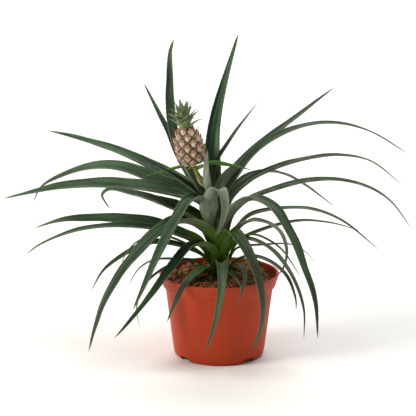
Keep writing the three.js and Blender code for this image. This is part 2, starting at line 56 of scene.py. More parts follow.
# ------------------------------------------------------------------ the plant's measures, as in the CAD
# A leaf: its name, its heading in degrees at the root, middle and tip (0 is +X, 90 is +Y), its greatest
# width, and its arch as (reach from the stem's axis, height) points. A leaf that folds over itself or swerves
# gives its path as (x, y, z) points, and its heading is then the way it faces. The youngest come first.
LEAVES = (
    ("inner_fold", (-160, -142, -138), 12.5, ((6, 154), (13, 172), (17.5, 190), (16, 213))),
    ("back_right_up", (125, 94.5, 78), 17.5, ((7, 150), (21, 184), (40, 220), (60, 251), (78, 283),
        (95, 313.5))),
    ("back_left_up", (142, 141, 125), 19.5, ((-6, 5, 148), (-15.5, 6, 165), (-26, 13, 181), (-35.5, 19, 197),
        (-44, 27, 214), (-49, 37, 234), (-50.5, 48, 254), (-50.5, 60, 271), (-50.5, 70, 287), (-49.7, 79, 299),
        (-46.6, 88, 309))),
    ("back_left_mid", (130, 127, 124), 10, ((9, 146), (28, 160), (63, 188), (90, 217), (122, 244), (141, 259))),
    ("back_right_thin", (61, 61, 61), 5, ((-4.2, 4.2, 158), (-6, 6.5, 178), (-4.2, 8.5, 193.5),
        (1, 12.5, 203.5), (6.5, 17, 211), (18, 34, 225), (32, 56.5, 239), (39, 67.5, 246))),
    ("right_up", (42, 42, 41), 12, ((8, 152), (14, 178), (38, 198.8), (67, 213.3), (113, 234.2), (160, 256.3))),
    ("right_high", (28, 21, 14), 12, ((8, 148), (18, 180), (38, 205), (66, 221.5), (98, 230.4), (129, 230.2),
        (160, 221.3), (198, 198))),
    ("heart", (-100, -82, -87), 19.8, ((-7, -8, 124), (-9.5, -10, 138), (-10.5, -12.5, 152), (-9, -14.5, 164.5),
        (-4, -18.5, 174), (1.6, -23.5, 175.6), (4.8, -26.6, 168.8), (5.4, -27.5, 158), (3.5, -28, 147),
        (-0.2, -28, 136), (-5.8, -28, 126.5))),
    ("left_top", (147, 147, 148), 16.5, ((9, 147.5), (22, 164.3), (71, 181.3), (121, 195.8), (171, 204.3),
        (213, 209.3))),
    ("left_stub", (182, 183, 184), 13, ((8, 146), (16, 161), (39, 181), (60, 193), (78, 200))),
    ("front_left_high", (-158, -134, -134.5), 15.5, ((-9.5, 1, 142), (-14, -4, 156.5), (-22, -14, 165.5),
        (-31, -30, 165.5), (-41.5, -42, 151), (-57, -58, 124), (-71.5, -73, 94), (-83, -84, 71))),
    ("right_long", (15, 10, 5), 12, ((9, 141), (14, 161), (32, 179), (62, 192), (93, 199.6), (123, 202),
        (153, 196), (184, 172.5))),
    ("left_upper", (158, 157, 157), 19.5, ((9, 144), (23, 160), (65, 173.3), (109, 184.3), (143, 182),
        (178, 169.6), (203, 154.5), (211.5, 139))),
    ("back_right_low", (60, 50, 40), 10, ((9, 138), (20, 158), (43, 173), (80, 176.2), (104, 169.6), (131, 153),
        (161, 129))),
    ("left_long", (178, 176, 174), 19.5, ((9, 138), (19, 158.5), (44, 166.5), (80, 172.7), (120, 174.3),
        (161, 170.3), (202, 160.5), (219, 156))),
    ("right_mid", (-5, -2, 2), 12, ((8.5, 128), (13, 145), (20.5, 154.5), (31, 162.3), (60, 173.4), (90, 180.5),
        (120, 181), (150, 172.5), (171, 158.5), (193, 130))),
    ("front_right_arch", (-30, -35, -40), 16, ((9.5, 126), (14, 148), (26, 161), (41, 167), (63, 160),
        (85, 136), (102, 107), (117.5, 75), (124, 41))),
    ("back_a", (98, 98, 97), 15, ((10, 128), (18, 146), (45, 164), (85, 165), (125, 145), (158, 105))),
    ("left_curl", (-176, -168, -165), 29, ((10, 119), (16, 133.5), (26, 144), (60, 161), (90, 171.5),
        (112, 176.5), (118.5, 171.5), (116, 164.5), (111.5, 158))),
    ("front_right_hook", (-30, -43.5, -59), 14, ((9.8, 96), (12.5, 113), (20, 130), (30, 140), (44, 146),
        (73, 147), (94, 141), (108, 127.3), (109, 113.5), (103, 104.5))),
    ("front_right_big", (-76, -54, -71), 14.5, ((10, 112), (16, 129), (28, 134), (41, 125), (55, 108), (72, 79),
        (83, 57), (95, 31))),
    ("right_low_long", (-12, -15, -18), 9, ((10, 113), (17, 131.5), (31, 146), (62, 155), (92, 156.5),
        (123, 148.2), (163, 121.7))),
    ("front_left_big", (-155, -152, -148), 21.5, ((9.8, 110), (15, 127), (28, 140), (46, 144), (66, 135.7),
        (88, 118.7), (110.5, 98), (130, 71.5), (141, 49.5), (149.5, 27.5))),
    ("left_low_long", (174, 170, 167), 17, ((10, 100), (18, 115.5), (39, 124), (70, 133.2), (100, 135.8),
        (131, 134.5), (163, 131.2), (195, 120))),
    ("back_b", (82, 86, 88), 14, ((10, 106), (18, 124), (45, 140), (85, 139), (120, 117), (148, 80))),
    ("left_low_dark", (-172, -170, -168), 12, ((10, 100), (20, 114.7), (54, 130.5), (90, 137), (120, 138),
        (150, 133.8), (180, 123), (194, 114))),
    ("front_right_low", (-42, -45, -48), 6.5, ((10, 106), (18, 120), (35, 126.3), (61, 124.8), (80, 117),
        (103, 97.5), (118, 72), (121, 44))),
    ("front_right_wisp", (-36, -46.5, -50.5), 4, ((10, 105), (25, 125), (45, 132), (64, 132.2), (93, 125.6),
        (121, 106))),
    ("left_wisp", (-158, -161, -155), 4.6, ((10, 100), (30, 115), (61, 128), (85, 125), (98.5, 115),
        (103.5, 107), (104.5, 98))),
    ("left_low_arch", (-168, -164, -160), 10, ((10, 97), (20, 106), (45, 117), (71, 120.7), (93, 113.6),
        (120.5, 97.2), (134.5, 77.5))),
    ("right_wisp_high", (12, 10, 8), 7, ((10, 100), (20, 116.5), (47, 128), (83, 135), (114, 132), (145, 123))),
    ("front_left_low", (-140, -142, -145), 13.5, ((9.8, 92), (15, 109), (25, 119.3), (38, 118.3), (59, 100.7),
        (85, 74.7), (110, 50.7), (125, 38))),
    ("right_wisp_low", (20, 10, 0), 4.6, ((10, 94), (18, 108), (45, 111.3), (75, 111.4), (90, 102.5),
        (97, 94))),
    ("back_c", (96, 91, 88), 11, ((10, 92), (18, 106), (42, 118), (75, 112), (105, 90), (130, 55))),
    ("left_dry_over", (-172, -164, -155), 5.8, ((10, 84), (22, 97), (41, 101), (67, 103.4), (84, 98),
        (99, 82.5))),
    ("left_dry_drop", (-157, -154, -150), 5, ((10, 84), (20, 96), (36, 101), (60, 96.5), (84, 81), (93, 60),
        (91, 42))),
    ("front_right_rim", (-38, -44, -50), 7.5, ((10, 84), (20, 100), (40, 109), (68, 109.2), (95, 99.7),
        (111, 81.5), (114, 71.5))),
    ("front_centre", (-86, -88, -100), 12, ((10, 83), (14, 96), (22, 103), (40, 100), (63, 90), (72, 72),
        (79, 48), (85, 26))),
    ("front_left_rim", (-118, -122, -128), 10, ((10, 82), (19, 93.5), (32, 97), (48, 93.3), (62, 87.4),
        (73.5, 72.5), (83, 53))),
    ("front_right_curl", (-50, -60, -79), 4.8, ((10, 82), (22, 95.5), (40, 102), (54, 98.5), (63.5, 88),
        (70, 78), (72, 68))),
    ("front_right_dry", (-70, -71, -71), 4.8, ((10, 82.5), (22, 91.5), (38, 92), (53, 90.3), (62.8, 87.5),
        (67, 81.5))),
    ("pot_left", (-166, -163, -161), 5, ((10, 83), (18, 92), (33, 93.5), (43, 90.3), (50, 84.5))),
    ("pot_right", (12, 6, 0), 4, ((10, 82), (19, 94.5), (34, 97.2), (44.5, 93.5), (50.5, 86))),
)
# Roll in degrees at the root, middle and tip of the leaves that have some.
ROLLS = {"inner_fold": (0, 20, 30), "back_left_up": (0, 0, 50), "left_top": (0, 15, 20),
         "left_stub": (0, 10, 10), "left_upper": (0, 20, 20), "left_long": (0, 25, 25), "left_curl": (0, 15, 0),
         "left_low_long": (0, 25, 25), "left_low_dark": (0, 10, 10), "left_low_arch": (0, 15, 0)}
# How many degrees further round the stem than its heading a leaf's root sits.
ROUND_STEM = {"right_up": 70, "right_high": 55, "right_long": 25, "front_right_arch": -38,
              "front_right_hook": -50, "front_right_big": -10, "front_left_big": 45, "front_left_low": 45}
# Rise of a leaf's margins above its middle, in degrees, at the root, middle and tip.
GUTTER = (42, 26, 22)
GUTTERS = {"inner_fold": (50, 46, 40), "heart": (42, 20, 42)}
# Width of the clasping root as a share of the leaf's, and the length over which it widens.
ROOT = (0.5, 30)
ROOTS = {"heart": (0.2, 36)}
# Share of the length where a leaf starts to narrow, and the power of its taper.
TAPER = (0.3, 1.6)
TAPERS = {"back_right_up": (0.25, 0.85), "back_left_up": (0.35, 0.8), "heart": (0.28, 0.6),
          "left_curl": (0.12, 0.85), "front_right_hook": (0.15, 0.65), "front_right_big": (0.25, 1),
          "front_centre": (0.2, 1)}
LEAF_TIP = 0.1  # width of the tip, as a share of the greatest width
TIP_ROUNDING = 0.035  # share of the length over which the tip rounds off
LEAF_COLUMNS = 15  # points across a leaf's face
RING_SPACING, RINGS = 1.7, (36, 150)  # of a leaf's cross sections, and their least and greatest count
ROOT_RINGS, ROOT_INWARD, ROOT_DOWN = 4, 3.5, 8.0  # how a leaf's foot runs on inside the stem
FOLD_DEPTH, FOLD_WIDTH = 0.16, 0.13  # the line along a leaf's middle: millimetres, and share of half its width
RIPPLE_SPACINGS = (21, 24)  # of the right and left margins' slow waves
TOOTH_SPACING = 3  # rings from one tooth to the next
TURN_LENGTH = 45  # from the root to where a leaf has come round to its heading
FRESH_BELOW = (118, 152)  # leaves rooted below the first height have yellow-green feet, above the second none
# How much pale scurf a leaf carries, how dry it is, and how crinkled, each from 0 to 1.
# Pale scurf on front_right_big and front_right_arch is partly painted light, lightening leaves the lights leave dark.
SCURF_AND_PAINTED_LIGHT = {"front_right_big": 0.3, "front_right_arch": 0.16, "front_right_low": 0.3, "front_centre": 0.2,
          "heart": 0.75, "inner_fold": 0.7, "front_left_high": 0.12, "front_right_hook": 0.35, "left_dry_over": 0.6}
DRY = {"left_dry_over": 0.25, "left_dry_drop": 0.35, "front_right_dry": 0.3, "right_wisp_low": 0.15, "left_wisp": 0.2}
GREY_FEET = ("right_high", "right_long", "back_right_low", "right_mid", "front_right_arch", "right_up")
# Share of the yellow-green foot colour kept; the heart's low share is painted shade between its hood and tongue.
FOOT_FADE_AND_PAINTED_SHADE = {"heart": 0.3, "inner_fold": 0.5}
PALE_BAND = {"front_centre": 27}  # millimetres from the root to a paler band
CRINKLED = {"front_centre": 1.0, "heart": 0.45, "left_curl": 0.35}

STEM_PROFILE = ((7.5, 60), (8.6, 78), (9.6, 88), (9.6, 122), (9, 140), (7, 156), (4.5, 165))
STALK_RADIUS = 1.9
STALK_PATH = ((-2, 0, 158), (-6, 0, 166), (-13, 0, 174), (-19.5, -0.6, 181.5), (-22.9, -1, 187.4), (-24.5, -1, 192.7),
              (-25.2, -1, 196.2))
# Thin bracts on the stalk: the width, and the path.
BRACTS = (
    (5, ((-24, -1, 190.5), (-28.5, 6.5, 192.6), (-37, 10.5, 191.4), (-50, 11.5, 188), (-64, 11, 184),
         (-77, 10, 180.5))),
    (7, ((-24, -1, 190.5), (-17, 5, 193), (-9, 8, 195.4), (1, 8, 194.8), (15.7, 7.5, 192.4), (33, 6.5, 188.6))),
    (3.2, ((-24.2, -1, 192), (-27.6, -5, 194), (-31.4, -7, 191.6), (-35.5, -8.5, 188.2))),
)
BRACT_ROLL = 50  # degrees
# Short dry scales on the stalk: the width, and the path.
STALK_SCALES = (
    (2.3, ((-13.5, -1.5, 172.5), (-18.4, -1.2, 176.6), (-21.4, -1, 181.6), (-24.2, -1.4, 188.5))),
    (2.6, ((-9.5, -1.5, 168), (-12.6, -3, 173), (-15.2, -3.6, 178), (-17.4, -3.4, 183))),
)
# Small curled leaves round the stem's foot: heading, reach past the stem, rise, drop of the tip below the
# root, and width.
FOOT_LEAVES = (
    (-138, 20, 12, 0.5, 3.4), (-120, 17, 7, 1, 3), (-152, 15, 9, 0.5, 2.6), (-48, 16, 9.5, 0.5, 3),
    (-36, 22, 8, 1, 2.6), (-66, 14, 6, 1, 2.4), (20, 16, 9, 1, 3), (75, 18, 8, 1, 3), (130, 17, 9, 1, 3),
    (170, 20, 8, 1, 2.8),
)
FRUIT_BASE = (-25.3, -1, 196.6)
FRUIT_LEAN = -14  # degrees about Y, towards -X
FRUIT_PROFILE = ((0, 0), (6.8, 0.3), (10.5, 3.2), (12.1, 8), (12.6, 16), (12.1, 23.5), (10.2, 30), (6.8, 34.8),
                 (2.8, 37.1), (0, 37.6))
EYES = 43
EYE_LOWEST, EYE_HIGHEST = 2.4, 35  # heights between which the eyes' middles lie
EYE_RISE = 1.9
EYE_REACH = 4.2  # from an eye's middle to its top
SEAM_WIDTH = 1.25  # over which an eye falls to the seam round it
CROWN_FOOT = 37.9  # height on the fruit's axis
CROWN_LEAN = -5  # degrees about Y, towards -X
CROWN_LEAVES = 29
CROWN_CORE = ((0, -1.5), (4.6, -1.2), (5.6, 1), (5.2, 6), (3.8, 13), (0, 18))

POT_OUTSIDE = ((42.8, 0), (45.2, 1.8), (46.2, 6), (54.1, 69), (55, 71), (56.6, 72), (57.3, 74), (60.2, 83.2),
               (60.6, 84.4), (60.2, 85))
POT_INSIDE = ((58.4, 85), (57.9, 84.2), (55.9, 74.6), (52, 70), (44.2, 6), (42.6, 1.8))
NOTCHES = 4  # drainage cut-outs round the foot
NOTCH_FIRST = 40  # degrees
NOTCH_WIDTH = 13
NOTCH_HEIGHT = 5
NOTCH_REACH = (37, 64)  # from the pot's axis
NOTCH_ROUNDING = 1.6
SOIL_TOP = ((55, 74.9), (55.9, 78.8), (44, 80), (33, 80.8), (22, 81), (12, 78.6))  # (radius, height)
SOIL_SIDE = ((43, 2.1), (43.9, 6.3), (48, 40), (51.8, 70.2), (55, 74.9))  # from the bottom up
SOIL_HOLE = (9, 60)  # where the stem stands: its radius, and the height of its floor
SOIL_EDGE = 55.9
CRUMB_SIZES = (0.7, 4.1)
CRUMB_RANGE, FIBRE_RANGE, GRIT_RANGE = (11, 53.8), (12, 50), (14, 50)  # from the stem's axis
FIBRE_LIMIT = 52  # no fibre runs out further than this
GRIT_IN_FRONT = ((28, -100), (34, -80), (40, -150), (45, -35))  # (radius, heading) of the first grains
POT_SIDES, SOIL_SIDES, STEM_SIDES, STALK_SIDES, FRUIT_SIDES = 192, 220, 48, 24, 260  # points round each

# The camera, for a square frame: where it stands and how far it looks down.
CAMERA_PLACE = (-11.24, -1557.73, 516.67)
CAMERA_DOWN = 13.2  # degrees below the horizon
CAMERA_LENS = 138.46  # on a 36 mm sensor
FLOOR_REACH = 12000  # half the floor's side
# The soft lights: name, place, the place each is aimed at, size and colour.
LIGHTS = (
    ("key_softbox", (-2200, -800, 1500), (0, 0, 150), 1000, "#fffaf3"),
    ("fill_softbox", (1900, -1200, 700), (0, 0, 150), 1400, "#f3f7ff"),
    ("top_softbox", (700, -200, 2300), (0, 0, 150), 1200, "#ffffff"),
    ("backdrop_light", (0, 3500, 2600), (0, 2500, 0), 4000, "#ffffff"),
)
TOP_SHARE = 0.45  # the top light's power, as a share of the key light's


# ------------------------------------------------------------------ colour and material helpers
def linear(code):
    """An sRGB hex colour as linear red, green and blue."""
    parts = [int(code[i:i + 2], 16) / 255 for i in (1, 3, 5)]
    return tuple(c / 12.92 if c <= 0.04045 else ((c + 0.055) / 1.055) ** 2.4 for c in parts)


def put(tree, kind, inputs=(), **settings):
    """Adds a shader node. settings are its own properties, and inputs gives each socket a number, a hex
    colour, the name of a value that the mesh carries, or a node or an output to link from."""
    made = tree.nodes.new("ShaderNode" + kind)
    for name, value in settings.items():
        setattr(made, name, value)
    for socket, value in dict(inputs).items():
        if isinstance(value, str) and value[0] != "#":
            value = put(tree, "Attribute", attribute_name=value).outputs["Fac"]
        if isinstance(value, bpy.types.Node):
            value = next(output for output in value.outputs if output.enabled)
        if isinstance(value, bpy.types.NodeSocket):
            tree.links.new(value, made.inputs[socket])
        else:
            made.inputs[socket].default_value = (*linear(value), 1) if isinstance(value, str) else value
    return made


# Map Range numbers its sockets: 0 is the value, 1 and 2 its range, 3 and 4 the range it is brought to. So
# does Mix for colours: 0 is the share of the second colour, 6 and 7 the two. These are settings for put.
COLOUR = {"data_type": "RGBA"}
TIMES = {"operation": "MULTIPLY"}
TIMES_PLUS = {"operation": "MULTIPLY_ADD"}


def pattern(tree, scale, detail=2, rough=0.5, place=None):
    """Noise with about so many features to a metre, or to a millimetre where its place is given in them."""
    place = place or put(tree, "TexCoord").outputs["Object"]
    drawn = put(tree, "Mapping", {"Vector": place, "Scale": np.broadcast_to(scale, 3)})
    return put(tree, "TexNoise", {"Vector": drawn, "Scale": 1, "Detail": detail, "Roughness": rough})


def fade(tree, first, second, by, low, high, most=1):
    """The first colour, giving way to the second by up to most as by goes from low to high."""
    share = put(tree, "MapRange", {0: by, 1: low, 2: high, 4: most})
    return put(tree, "Mix", {0: share, 6: first, 7: second}, **COLOUR)


def shade(tree, colour, by, low, high, darkest, lightest):
    """The colour times darkest to lightest, as by goes from low to high."""
    step = put(tree, "MapRange", {0: by, 1: low, 2: high, 3: darkest, 4: lightest})
    return put(tree, "VectorMath", {0: colour, "Scale": step}, operation="SCALE")


def new_material(name):
    """A material with an empty node tree, and that tree."""
    material = bpy.data.materials.new(name)
    material.use_nodes = True
    material.node_tree.nodes.clear()
    return material, material.node_tree


def finish(material, colour, roughness, height, strength, depth, optics=()):
    """Adds the shader, its relief from height with depth in millimetres, and its constants from optics."""
    tree = material.node_tree
    relief = put(tree, "Bump", {"Strength": strength, "Distance": depth * MM, "Height": height})
    shader = put(tree, "BsdfPrincipled", {"Base Color": colour, "Roughness": roughness, "Normal": relief,
                                          **dict(optics)})
    put(tree, "OutputMaterial", {"Surface": shader})
    return material


# ------------------------------------------------------------------ shape helpers, in millimetres
def along(values, s):
    """A value given at the start, middle and end, followed smoothly at share s."""
    a, b, c = values
    return a * (1 - s) * (1 - 2 * s) + b * 4 * s * (1 - s) + c * s * (2 * s - 1)


def smooth(low, high, x):
    """0 below low, 1 above high, and an even S between them."""
    t = np.clip((np.asarray(x, float) - low) / (high - low), 0, 1)
    return t * t * (3 - 2 * t)


def unit(v):
    return v / np.maximum(np.linalg.norm(v, axis=-1, keepdims=True), 1e-9)


def turns(count):
    """Angles in radians, evenly round a circle."""
    return np.arange(count) * 2 * np.pi / count


def polar(radius, angle, height):
    """Points at a distance and a heading in radians from the Z axis."""
    return np.stack(np.broadcast_arrays(radius * np.cos(angle), radius * np.sin(angle), height), -1)


def lean(points, degrees, foot):
    """Points about the origin, leaned about Y and moved to foot."""
    a = math.radians(degrees)
    turn = np.array([[math.cos(a), 0, math.sin(a)], [0, 1, 0], [-math.sin(a), 0, math.cos(a)]])
    return points @ turn.T + np.array(foot)


def follow(points, count):
    """count + 1 points at equal steps along a centripetal Catmull-Rom curve, the share of its length at each,
    and that length."""
    knots = np.array(points, float)
    padded = np.vstack([2 * knots[0] - knots[1], knots, 2 * knots[-1] - knots[-2]])
    w = np.linspace(0, 1, 40, endpoint=False)[:, None]
    fine = []
    for p0, p1, p2, p3 in zip(padded, padded[1:], padded[2:], padded[3:]):
        d0, d1, d2 = (max(np.linalg.norm(b - a), 1e-4) ** 0.5 for a, b in ((p0, p1), (p1, p2), (p2, p3)))
        m1 = ((p1 - p0) / d0 - (p2 - p0) / (d0 + d1) + (p2 - p1) / d1) * d1
        m2 = ((p2 - p1) / d1 - (p3 - p1) / (d1 + d2) + (p3 - p2) / d2) * d1
        fine.append(p1 + m1 * w + (3 * (p2 - p1) - 2 * m1 - m2) * w**2 + (2 * (p1 - p2) + m1 + m2) * w**3)
    fine = np.vstack([*fine, knots[-1:]])
    walked = np.r_[0, np.cumsum(np.linalg.norm(np.diff(fine, axis=0), axis=1))]
    s = np.linspace(0, 1, count + 1)
    return np.column_stack([np.interp(s * walked[-1], walked, c) for c in fine.T]), s, walked[-1]


def wander(rng, distance, spacing):
    """Smooth seeded noise between -1 and 1 along distances, changing about every spacing."""
    knots = rng.uniform(-1, 1, int(np.max(distance) / spacing) + 4)
    i = np.floor(distance / spacing).astype(int)
    t = smooth(0, 1, distance / spacing - i)
    return knots[i] * (1 - t) + knots[i + 1] * t


class Shape:
    """Gathers closed bodies and the values their points carry, then makes one mesh or piece of them."""

    def __init__(self):
        self.points, self.faces, self.values, self.count = [], [], [], 0

    def add(self, points, faces, **values):
        self.points.append(points)
        self.faces.extend([[i + self.count for i in face] for face in faces])
        self.values.append({k: np.broadcast_to(v, len(points)) for k, v in values.items()})
        self.count += len(points)
        return self

    def mesh(self, name):
        mesh = bpy.data.meshes.new(name)
        mesh.from_pydata((np.vstack(self.points) * MM).tolist(), [], self.faces)
        mesh.shade_smooth()
        for key in sorted({k for v in self.values for k in v}):
            held = np.concatenate([v.get(key, np.zeros(len(p))) for v, p in zip(self.values, self.points)])
            mesh.attributes.new(key, "FLOAT", "POINT").data.foreach_set("value", held.astype(np.float32))
        return mesh

    def piece(self, name, material, slot, *nodes):
        """Makes the piece, in place of the CAD nodes that are named."""
        mesh = self.mesh(name)
        mesh.materials.append(material)
        made = bpy.data.objects.new(name, mesh)
        bpy.context.scene.collection.objects.link(made)
        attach(made, "root")
        if nodes:
            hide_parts(*nodes)
        return made


def patch(grid):
    """Four-sided faces over a grid of point numbers. The grid's transpose gives the same faces, turned over."""
    return np.stack([grid[:-1, :-1], grid[1:, :-1], grid[1:, 1:], grid[:-1, 1:]], -1).reshape(-1, 4).tolist()


def skin(rings, ends=()):
    """Points and faces of a body through rings of points, which run anticlockwise seen from its last. Each
    end is one flat face, or a fan to its own point where ends gives the two."""
    grid = np.arange(rings.shape[0] * rings.shape[1]).reshape(rings.shape[:2])
    faces = patch(np.column_stack([grid, grid[:, 0]]).T)
    points = rings.reshape(-1, 3)
    low, high = grid[0, ::-1].tolist(), grid[-1].tolist()
    if not len(ends):
        return points, [*faces, low, high]
    for middle, rim in ((grid.size, low), (grid.size + 1, high)):
        faces += [(middle, a, b) for a, b in zip(rim, rim[1:] + rim[:1])]
    return np.vstack([points, ends]), faces


def turned(profile, sides):
    """A body of revolution about Z from (radius, height) pairs, the first and last of them on the axis."""
    profile = np.array(profile, float)
    return skin(polar(profile[1:-1, :1], turns(sides), profile[1:-1, 1:]), polar(0, 0, profile[[0, -1], 1]))


def rounded(profile, radius, steps=3):
    """The profile with each inner corner rounded off by up to radius."""
    profile = np.array(profile, float)
    out = [profile[0]]
    for a, b, c in zip(profile, profile[1:], profile[2:]):
        cut = min(radius, np.linalg.norm(a - b) * 0.45, np.linalg.norm(c - b) * 0.45)
        start, end = b + unit(a - b) * cut, b + unit(c - b) * cut
        for t in np.linspace(0, 1, steps + 1):
            out.append((1 - t) ** 2 * start + 2 * t * (1 - t) * b + t * t * end)
    return [*out, profile[-1]]


def add_cord(shape, path, radius, sides, **values):
    """Adds a closed round cord along path, with one radius or one to a ring."""
    tangent = unit(np.gradient(path, axis=0))
    side = unit(np.cross(tangent, [0.0, 0.0, 1.0]) + 1e-6)
    turn = turns(sides)[:, None]
    rim = np.cos(turn) * side[:, None] + np.sin(turn) * np.cross(side, tangent)[:, None]
    points, faces = skin(path[:, None] + rim * np.broadcast_to(radius, len(path))[:, None, None])
    step = np.r_[0, np.cumsum(np.linalg.norm(np.diff(path, axis=0), axis=1))]
    shape.add(points, faces, along=np.repeat(step / step[-1], sides), along_mm=np.repeat(step, sides),
              round=np.tile(turns(sides), len(path)), **values)


def strap(shape, path, s, span, facing, half, curl, middle, edge, roll=0.0, columns=9, relief=0.0, teeth=0.0,
          seat=(0, (0, 0, 0)), **values):
    """Adds a long blade along path. s is each ring's share of its length, span the length, and facing its
    heading in radians or its sideways direction. Each ring is an arc with a chord of 2 * half and a
    half-angle of curl degrees, hollow towards the upper side and centred on its depth. middle and edge are
    its thicknesses, relief lifts its points (rings by columns), teeth push its two margins outwards, and seat
    is a lean and a foot for the whole."""
    rings = len(path)
    tangent = unit(np.gradient(path, axis=0))
    if np.ndim(facing) < 2:
        facing = polar(1, facing + np.pi / 2, 0)
    side = unit(facing - (facing * tangent).sum(1, keepdims=True) * tangent)
    up = np.cross(tangent, side)
    c, d = np.reshape(np.cos(roll), (-1, 1)), np.reshape(np.sin(roll), (-1, 1))
    side, up = (side * c - up * d)[:, None], (up * c + side * d)[:, None]

    half, curl, middle, edge = (np.broadcast_to(v, rings)[:, None] for v in
                                (half, np.maximum(np.radians(curl), 0.02), middle, edge))
    u = np.linspace(-1, 1, columns)
    radius = half / np.sin(np.minimum(curl, np.pi / 2))
    turn = curl * u
    x = radius * np.sin(turn)
    x[:, [0, -1]] += teeth * np.array([-1, 1])
    z = radius * (1 - np.cos(turn)) - radius * (1 - np.cos(curl)) / 2 + relief
    thick = (edge + (middle - edge) * (1 - u**2)) / 2
    sheets = [path[:, None] + side * (x - np.sin(turn) * t)[..., None] + up * (z + np.cos(turn) * t)[..., None]
              for t in (thick, -thick)]
    a, b = np.arange(2 * rings * columns).reshape(2, rings, columns)
    grids = (a, b.T, np.stack([a[:, 0], b[:, 0]]), np.column_stack([a[:, -1], b[:, -1]]),
             np.column_stack([a[0], b[0]]), np.stack([a[-1], b[-1]]))
    values.update(along=s, root_mm=s * span)
    flat = {k: np.tile(np.broadcast_to(np.reshape(v, (-1, 1)), (rings, columns)).ravel(), 2)
            for k, v in values.items()}
    shape.add(lean(np.concatenate(sheets).reshape(-1, 3), *seat), sum(map(patch, grids), []),
              across=np.tile(u, 2 * rings), across_mm=np.tile((radius * turn).ravel(), 2),
              under=np.repeat([0.0, 1.0], rings * columns), **flat)


# ------------------------------------------------------------------ materials
# A leaf's colours: its upper face and the lighter bands on it, its lower face and the scurf there, loose
# scurf, its foot, its margins and its dried point.
GREEN_LEAF = ("#172f1e", "#3b5739", "#42503d", "#838b7e", "#97a08a", "#4f6e17", "#8a8c66", "#655538")
CROWN_LEAF = ("#44602f", "#6d8a49", "#4f653a", "#87986e", "#a3ac93", "#7cb82a", "#a39a78", "#7a5e48")
FOOT_LEAF = ("#5c7f3c", "#86a35e", "#6d8656", "#9aa985", "#a9b39b", "#88a548", "#8a8c66", "#8a6b45")
BRACT_LEAF = ("#3f7a28", "#5f963c", "#44762f", "#739c50", "#9aa389", "#7c9e36", "#8d9c56", "#a5763f")


def leaf_material(name, colours, roughness=0.36, foot_reach=(12, 58)):
    """Pineapple leaf: a tough green strap under clear wax, which gives broad soft highlights. Its fibres run
    lengthwise and show as fine streaks, its lower face carries grey scurf, its foot is yellow-green where no
    light reached it, and its point dries to straw and brown."""
    material, tree = new_material(name)
    upper, banded, lower, silvered, dusty, pale, straw, dried = colours
    # Place on the blade in millimetres, with the leaf's own tone as the third so that no two leaves match.
    flat = put(tree, "CombineXYZ", {0: "across_mm", 1: "root_mm", 2: "tone"})
    # Fibre bundles lie about 0.7 mm apart and run unbroken for some 30 mm, bands of lighter and darker green
    # are some 5 mm wide, and scurf lies in clouds 10 to 20 mm long.
    fibre = pattern(tree, (1.4, 0.03, 40), 2, 0.6, flat)
    band = pattern(tree, (0.22, 0.012, 25), 2, 0.5, flat)
    cloud = put(tree, "MapRange", {0: pattern(tree, (0.3, 0.07, 31), 4, 0.62, flat), 1: 0.38, 2: 0.66})
    top = fade(tree, upper, banded, band, 0.42, 0.6)
    colour = put(tree, "Mix", {0: "under", 6: top, 7: fade(tree, lower, silvered, cloud, 0, 1)}, **COLOUR)
    colour = shade(tree, colour, fibre, 0.33, 0.67, 0.54, 1.4)
    # Each leaf is a little lighter or darker than the next.
    colour = shade(tree, colour, "tone", 0, 1, 0.84, 1.16)
    cover = put(tree, "Math", {0: cloud, 1: 0.31, 2: 0.62}, **TIMES_PLUS)
    scurf = put(tree, "Math", {0: "scurf", 1: cover}, **TIMES)
    # The foot goes from yellow-green where it clasps the stem to the blade's green, less so under scurf.
    foot = put(tree, "MapRange", {0: "root_mm", 1: foot_reach[0], 2: foot_reach[1], 3: 1, 4: 0},
               interpolation_type="SMOOTHSTEP")
    for share in ("fresh", put(tree, "Math", {0: "scurf", 1: -0.9, 2: 1}, **TIMES_PLUS)):
        foot = put(tree, "Math", {0: foot, 1: share}, **TIMES)
    # The margin is a thin straw-coloured line.
    far = put(tree, "Math", {0: "across"}, operation="ABSOLUTE")
    margin = put(tree, "MapRange", {0: far, 1: 0.86, 2: 1, 4: 0.22})
    # The point dries first, unevenly, and a dry leaf is straw all over.
    uneven = put(tree, "Math", {0: fibre, 1: 0.08, 2: "along"}, **TIMES_PLUS)
    point = put(tree, "MapRange", {0: uneven, 1: 0.975, 2: 1.03})
    dry = put(tree, "Math", {0: "dry", 1: point}, operation="MAXIMUM")
    for share, paint in ((scurf, dusty), (foot, pale), (margin, straw), (dry, dried)):
        colour = put(tree, "Mix", {0: share, 6: colour, 7: paint}, **COLOUR)
    matt = put(tree, "Math", {0: "under", 1: 0.12, 2: roughness}, **TIMES_PLUS)
    matt = put(tree, "Math", {0: cloud, 1: 0.1, 2: matt}, **TIMES_PLUS)
    return finish(material, colour, matt, fibre, 0.35, 0.25, {"IOR": 1.45, "Specular IOR Level": 0.13})


def pot_material(dye, roughness):
    """Injection-moulded polypropylene: a dyed satin plastic with a faint flow grain and a soft wide
    highlight, rubbed a little paler where pots are stacked."""
    material, tree = new_material("Moulded polypropylene")
    # Flow marks about 12 mm apart run up the wall.
    flow = pattern(tree, (80, 80, 12), 3)
    dyed = shade(tree, tuple(dye), flow, 0.3, 0.7, 0.94, 1.05)
    # Scuffs and dust: small pale flecks of about 1 mm.
    worn = fade(tree, dyed, "#cf8468", pattern(tree, 900), 0.62, 0.8, 0.16)
    satin = put(tree, "MapRange", {0: flow, 3: roughness - 0.05, 4: roughness + 0.07})
    # The mould's spark-eroded grain is about 0.4 mm across.
    return finish(material, worn, satin, pattern(tree, 2400, 1), 0.12, 0.1, {"IOR": 1.49, "Specular IOR Level": 0.22})


